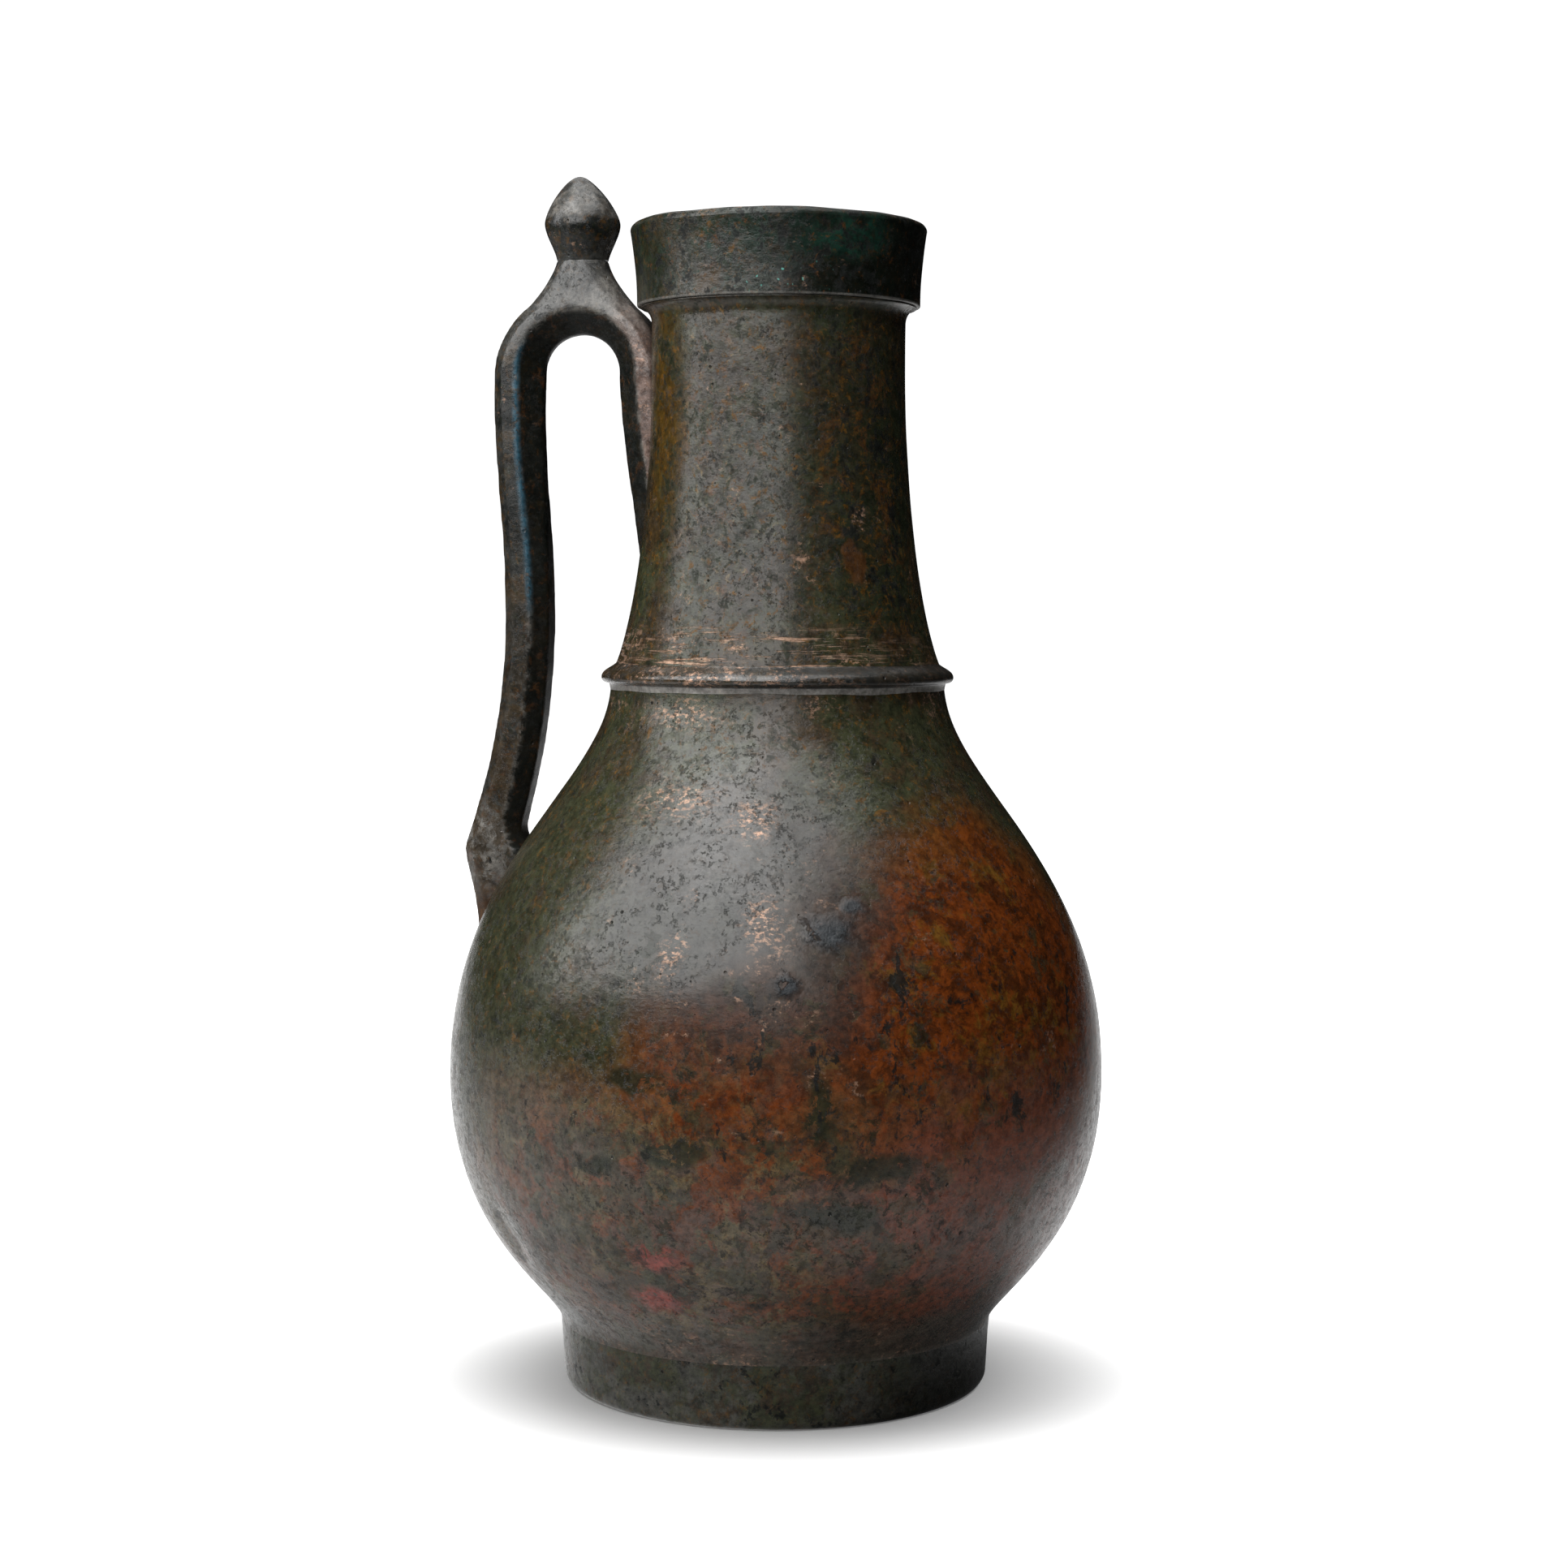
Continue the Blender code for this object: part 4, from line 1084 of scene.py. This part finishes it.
def handle_stations():
    """Return centre, outward direction, inner depth, width and inner bevel along the bar's centre line."""
    path = handle_path()
    stations = []
    for i, (kind, centre) in enumerate(path):
        along = path[min(i + 1, len(path) - 1)][1] - path[max(i - 1, 0)][1]
        outward = Vector((-along.y, along.x)).normalized()
        width = BAR_WIDTH
        if kind == "arm":
            share = (centre.y - ARCH_HEIGHT + ARM_LENGTH) / ARM_LENGTH
            swell = share ** 2
            width = ARM_TIP_WIDTH + (BAR_WIDTH - ARM_TIP_WIDTH) * share
        elif kind == "arch":
            swell = 1.0 - (centre.y - ARCH_HEIGHT) / ARCH_MID_R
        else:
            swell = min(((centre.y - GRIP_WAIST_HEIGHT) / (ARCH_HEIGHT - GRIP_WAIST_HEIGHT)) ** 2, 1.0)
        inner_depth = BAR_DEPTH / 2 + BAR_SWELL * swell
        bevel = INNER_BEVEL
        if kind in ("grip", "tail"):
            bevel -= BEVEL_LOSS * (1.0 - smooth_step(GRIP_WAIST_HEIGHT, ARCH_HEIGHT, centre.y))
            inner_depth += TOE_DEPTH * smooth_step(0.0, TOE_RISE, KNEE_HEIGHT + TOE_RISE - centre.y)
            past_knee = max((KNEE_HEIGHT - centre.y) / TAIL_LENGTH, 0.0)
            width += (TAIL_WIDTH - BAR_WIDTH) * past_knee
        stations.append((centre, outward, inner_depth, width, bevel))
    return stations


def paint_arris(bm, stations):
    """Mark the side of the bar that faces the loop, and the arris in front of it, at the mesh's points."""
    inner_side = bm.verts.layers.float.new("inner_side")
    arris = bm.verts.layers.float.new("arris")
    tree = KDTree(len(stations))
    for i, (centre, *_) in enumerate(stations):
        tree.insert((centre.x, centre.y, 0.0), i)
    tree.balance()
    for vert in bm.verts:
        place = Vector((-vert.co.x, vert.co.z))
        centre, outward, inner_depth, _, bevel = stations[tree.find((place.x, place.y, 0.0))[1]]
        past_arris = (place - centre).dot(outward) - (bevel - inner_depth)
        vert[inner_side] = 1.0 - smooth_step(-ARRIS_SOFT, ARRIS_SOFT, past_arris)
        vert[arris] = 1.0 - smooth_step(0.0, ARRIS_WIDTH, abs(past_arris))


def crown_rings():
    """Return the flare that rises from the arch to the finial's seat."""
    foot = ARCH_HEIGHT + CROWN_FOOT_RISE
    top = FINIAL_SEAT + 2.0 * LAP
    rings = []
    for i in range(CROWN_LAYERS + 1):
        share = i / CROWN_LAYERS
        half_length = FINIAL_WAIST_R + (CROWN_HALF - FINIAL_WAIST_R) * (1.0 - share) ** CROWN_EASE
        half_width = BAR_WIDTH / 2 + (FINIAL_WAIST_R - BAR_WIDTH / 2) * share
        power = CROWN_SQUARENESS + (1.0 - CROWN_SQUARENESS) * share
        height = foot + (top - foot) * share
        ring = []
        for k in range(CROWN_SIDES):
            angle = math.tau * (k + 0.5) / CROWN_SIDES
            along = math.copysign(abs(math.cos(angle)) ** power, math.cos(angle))
            across = math.copysign(abs(math.sin(angle)) ** power, math.sin(angle))
            ring.append((half_length * along - ARCH_X, half_width * across, height))
        rings.append(ring)
    return rings


def baked(item):
    """Return an object's mesh with its modifiers applied, and remove the object."""
    bpy.context.view_layer.update()
    evaluated = item.evaluated_get(bpy.context.evaluated_depsgraph_get())
    bm = bmesh.new()
    bm.from_mesh(evaluated.to_mesh())
    evaluated.to_mesh_clear()
    bpy.data.objects.remove(item, do_unlink=True)
    return bm


def make_handle():
    """Build the looped bar and its crown as one worn casting that lies on the neck and the belly."""
    stations = handle_stations()
    bar = add_object("bar_form", loft([bar_section(*station) for station in stations]))
    skin = offset(BELLY, -WALL / 2)[1:-1] + offset(BELOW_HOLLOW, -WALL / 2)[1:]
    core = [Vector((0.0, skin[0].y))] + skin + [Vector((0.0, skin[-1].y))]
    vessel = add_object("vessel_form", spin_outline(core, False, 128))
    cut = bar.modifiers.new("vessel", "BOOLEAN")
    cut.object = vessel
    cut.operation = "DIFFERENCE"
    cut.solver = "EXACT"
    bm = baked(bar)
    bpy.data.objects.remove(vessel, do_unlink=True)
    crown = loft(crown_rings())
    crown_mesh = bpy.data.meshes.new("crown_form")
    crown.to_mesh(crown_mesh)
    crown.free()
    bm.from_mesh(crown_mesh)
    whole = add_object("whole_form", bm)
    remesh = whole.modifiers.new("skin", "REMESH")
    remesh.mode = "VOXEL"
    remesh.voxel_size = HANDLE_GRAIN
    bm = baked(whole)
    rub_down(bm, HANDLE_RUB_DOWN)

    def depth(place, normal):
        return 0.00012 * wander(place, 0.010, 10.0) + 0.00008 * wander(place, 0.004, 11.0)

    press_in(bm, depth)
    paint_arris(bm, stations)
    return finish_piece("handle", bm, handle_finish(), "handle_bar", 180.0)


def make_finial():
    """Build the bud on the crown, with soft facets, a tip that leans a little and a painted highlight on its
    top.
    """
    seat = FINIAL_SEAT - LAP
    girth_height = FINIAL_SEAT + FINIAL_GAP + FINIAL_SHOULDER
    tip_height = girth_height + FINIAL_TIP
    outline = [Vector((0.0, seat))]
    outline += curve((FINIAL_WAIST_R, seat), (FINIAL_WAIST_R, seat + FINIAL_HOLLOW),
                     (FINIAL_R, girth_height - FINIAL_HOLLOW), (FINIAL_R, girth_height), 24)
    outline += curve((FINIAL_R, girth_height), (FINIAL_R - FINIAL_LEAN, girth_height + FINIAL_FULLNESS),
                     (FINIAL_TIP_R, tip_height), (0.0, tip_height), 30)[1:]
    bm = spin_outline(outline, False, 72)
    for vert in bm.verts:
        angle = math.atan2(vert.co.y, vert.co.x)
        above = smooth_step(girth_height, tip_height, vert.co.z)
        ridge = 0.5 + 0.5 * math.cos(FINIAL_FACETS * angle)
        facet = 1.0 - FINIAL_FACET_DEPTH * smooth_step(seat, girth_height, vert.co.z) * ridge
        lean = -TO_RIGHT * FINIAL_TIP_SHIFT * above
        vert.co = Vector((vert.co.x * facet - ARCH_X, vert.co.y * facet, vert.co.z)) + lean
    rub_down(bm, FINIAL_RUB_DOWN)
    press_in(bm, lambda place, normal: dents(place, (0.00008, 0.006, 12.0)))
    skin = plain_finish("finial_patina_and_highlight", GREY_BRONZE, SOOT, 90.0, 0.57)
    top = skin.above(girth_height + 0.0004, girth_height + 0.0020)
    # painted highlight: pale grey on the top half, which faces the lights above
    skin.lay(top * 0.5, CROWN_GREY)
    skin.mottle(top * 0.5, WEAR_AND_SHEEN_GREY, 0.004, 95.0, 0.46, 0.56)
    waist = skin.below(seat + 0.0010, seat + 0.0040)
    skin.lay(waist * 0.3, CROWN_GREY)
    return finish_piece("finial", bm, skin.done(), "handle_finial", 60.0)


def dress_pins():
    """Give the pins, which keep their own shape, a patina."""
    skin = plain_finish("pin_patina", UMBER, SOOT, 100.0, 0.58).done()
    names = ("neck_pin_upper", "neck_pin_lower", "belly_pin_upper", "belly_pin_lower")
    pins = [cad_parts[name] for name in names]
    for pin in pins:
        pin.data.materials.clear()
        pin.data.materials.append(skin.material)
    return pins


# Studio

def flat_grey(value):
    """Return a grey from its linear value."""
    return (value, value, value, 1.0)


def flat_sheet(name, half, height, finish):
    """Lay a flat square sheet that is part of the studio."""
    corners = ((-half, -half), (half, -half), (half, half), (-half, half))
    bm = bmesh.new()
    bm.faces.new([bm.verts.new((x, y, height)) for x, y in corners])
    bmesh.ops.subdivide_edges(bm, edges=bm.edges, cuts=7, use_grid_fill=True)
    bmesh.ops.recalc_face_normals(bm, faces=bm.faces)
    sheet = add_object(name, bm)
    sheet.data.materials.append(finish.material)
    return sheet


def make_floor():
    """Lay the white table top. Its glow is painted: grey near the jug as a painted shadow, brightening to the
    white of the surround away from the jug.
    """
    finish = Finish("table_white")
    side = (finish.along(TO_RIGHT) - SHADOW_SHIFT) * SHADOW_WIDE
    front = finish.along(TO_CAMERA) * SHADOW_SHALLOW
    away = finish.step(finish.math("SQRT", side * side + front * front), SHADOW_CORE, SHADOW_END)
    finish.dress({
        "Base Color": finish.mix(finish.lumps(0.004, 110.0), flat_grey(0.80), flat_grey(0.83)),
        # painted shadow: the glow is grey near the jug and white away from it
        "Emission Color": finish.mix(away, flat_grey(SHADOW_GREY), flat_grey(WHITE)),
        "Emission Strength": 1.0,
        "Roughness": 0.8,
        "Specular IOR Level": 0.1,
    })
    floor = flat_sheet("table_top", TABLE_HALF, 0.0, finish)
    floor.visible_glossy = False
    floor.visible_diffuse = False
    return floor


def make_white_card():
    """Lay the white card that the jug mirrors. It widens towards the back and brightens under the softbox."""
    finish = Finish("card_white")
    side = finish.along(TO_RIGHT)
    back = -1.0 * finish.along(TO_CAMERA)
    inside = back * CARD_SPREAD + CARD_HALF_WIDTH - finish.math("ABSOLUTE", side)
    near = finish.node("ShaderNodeClamp", None, {"Value": (back + CARD_FRONT) / (CARD_FRONT - CARD_FULL)})
    right_of = finish.step(side, 0.0, 0.10)
    sheet = finish.step(inside, -0.01, 0.03) * finish.step(back, -0.08, 0.02) * (1.0 - right_of * 0.16)
    pool = near * near / (1.0 + (side / (CARD_SIDE_FALL - right_of * CARD_RIGHT_LOSS)) ** 2.0)
    away = finish.step(finish.math("SQRT", finish.x * finish.x + finish.y * finish.y), 0.060, 0.130)
    under_box = finish.patch(TO_RIGHT * -0.50 + TO_CAMERA * 0.06, (0.22, 0.22, 1.0), finish.place, 0.8)
    grain = finish.lumps(0.050, 111.0) * 0.04
    lit = finish.most(sheet, pool * (0.90 - right_of * 0.15))
    foot_shade = 0.66 - finish.step(side, -0.03, 0.03) * 0.62
    lit = lit * (away * (1.0 - foot_shade) + foot_shade + grain)
    finish.dress({
        "Base Color": flat_grey(0.0),
        "Emission Color": finish.grey(finish.most(lit, under_box * 0.7) * CARD_RADIANCE),
        "Emission Strength": 1.0,
        "Specular IOR Level": 0.0,
    })
    card = flat_sheet("white_card", CARD_HALF, -CARD_DEPTH, finish)
    card.visible_camera = False
    card.visible_shadow = False


def add_panel(name, place, target, size, radiance, lit):
    """Hang a softbox that looks at the target and lights only the objects in one group."""
    light = bpy.data.lights.new(name, "AREA")
    light.shape = "RECTANGLE"
    light.size, light.size_y = size
    light.energy = radiance * math.pi * size[0] * size[1]
    panel = bpy.data.objects.new(name, light)
    panel.location = place
    panel.rotation_mode = "QUATERNION"
    panel.rotation_quaternion = (Vector(target) - Vector(place)).to_track_quat("-Z", "Y")
    panel.visible_camera = False
    group = bpy.data.collections.new(name + "_lit")
    for item in lit:
        group.objects.link(item)
    panel.light_linking.receiver_collection = group
    bpy.context.scene.collection.objects.link(panel)


def light_studio(jug, floor):
    """Hang a large softbox front left, one above, one behind, and a white surround for the camera alone."""
    box_place = facing(SOFTBOX_TURN, SOFTBOX_STAND, SOFTBOX_LOW_EDGE + SOFTBOX_SIZE[1] / 2)
    top_place = TO_RIGHT * -TOP_BOX_LEFT + TO_CAMERA * TOP_BOX_FRONT + Vector((0.0, 0.0, HANGING_HEIGHT))
    back_place = TO_CAMERA * -BACK_BOX_BEHIND + Vector((0.0, 0.0, BACK_BOX_HEIGHT))
    table_place = (0.0, 0.0, HANGING_HEIGHT)
    add_panel("softbox", box_place, (0.0, 0.0, box_place.z), SOFTBOX_SIZE, SOFTBOX_RADIANCE, jug)
    add_panel("top_box", top_place, (top_place.x, top_place.y, 0.0), TOP_BOX_SIZE, TOP_BOX_RADIANCE, jug)
    add_panel("back_box", back_place, (0.0, 0.0, BACK_BOX_AIM), BACK_BOX_SIZE, BACK_BOX_RADIANCE, jug)
    add_panel("table_light", table_place, (0.0, 0.0, 0.0), TABLE_LIGHT_SIZE, TABLE_LIGHT_RADIANCE, [floor])
    world = bpy.data.worlds.new("studio")
    world.use_nodes = True
    bpy.context.scene.world = world
    tree = world.node_tree
    ground = tree.nodes["Background"]
    path = tree.nodes.new("ShaderNodeLightPath")
    shade = tree.nodes.new("ShaderNodeMix")
    shade.data_type = "RGBA"
    shade.inputs[6].default_value = flat_grey(ROOM_DIMNESS)
    shade.inputs[7].default_value = flat_grey(WHITE)
    tree.links.new(path.outputs["Is Camera Ray"], shade.inputs[0])
    tree.links.new(shade.outputs[2], ground.inputs["Color"])


def set_camera():
    """Place the camera where the photo was taken from."""
    lens = bpy.data.cameras.new("camera")
    lens.sensor_width = SENSOR
    lens.lens = FOCAL_LENGTH_PX / PHOTO_SIZE * SENSOR
    lens.clip_start = 0.01
    camera = bpy.data.objects.new("camera", lens)
    level = -TO_CAMERA
    forward = level * math.cos(CAMERA_PITCH) - Vector((0.0, 0.0, math.sin(CAMERA_PITCH)))
    up = TO_RIGHT.cross(forward)
    turn = Matrix((TO_RIGHT, up, -forward)).transposed()
    place = TO_CAMERA * CAMERA_DISTANCE + TO_RIGHT * CAMERA_SHIFT_RIGHT + Vector((0.0, 0.0, CAMERA_HEIGHT))
    roll = Matrix.Rotation(CAMERA_ROLL, 4, "Z")
    camera.matrix_world = Matrix.Translation(place) @ turn.to_4x4() @ roll
    bpy.context.scene.collection.objects.link(camera)
    bpy.context.scene.camera = camera
    bpy.context.scene.view_settings.view_transform = "Standard"


builders = (make_foot, make_base, make_belly, make_neck, make_ring, make_collar, make_handle, make_finial)
jug = [build() for build in builders]
make_white_card()
light_studio(jug + dress_pins(), make_floor())
set_camera()
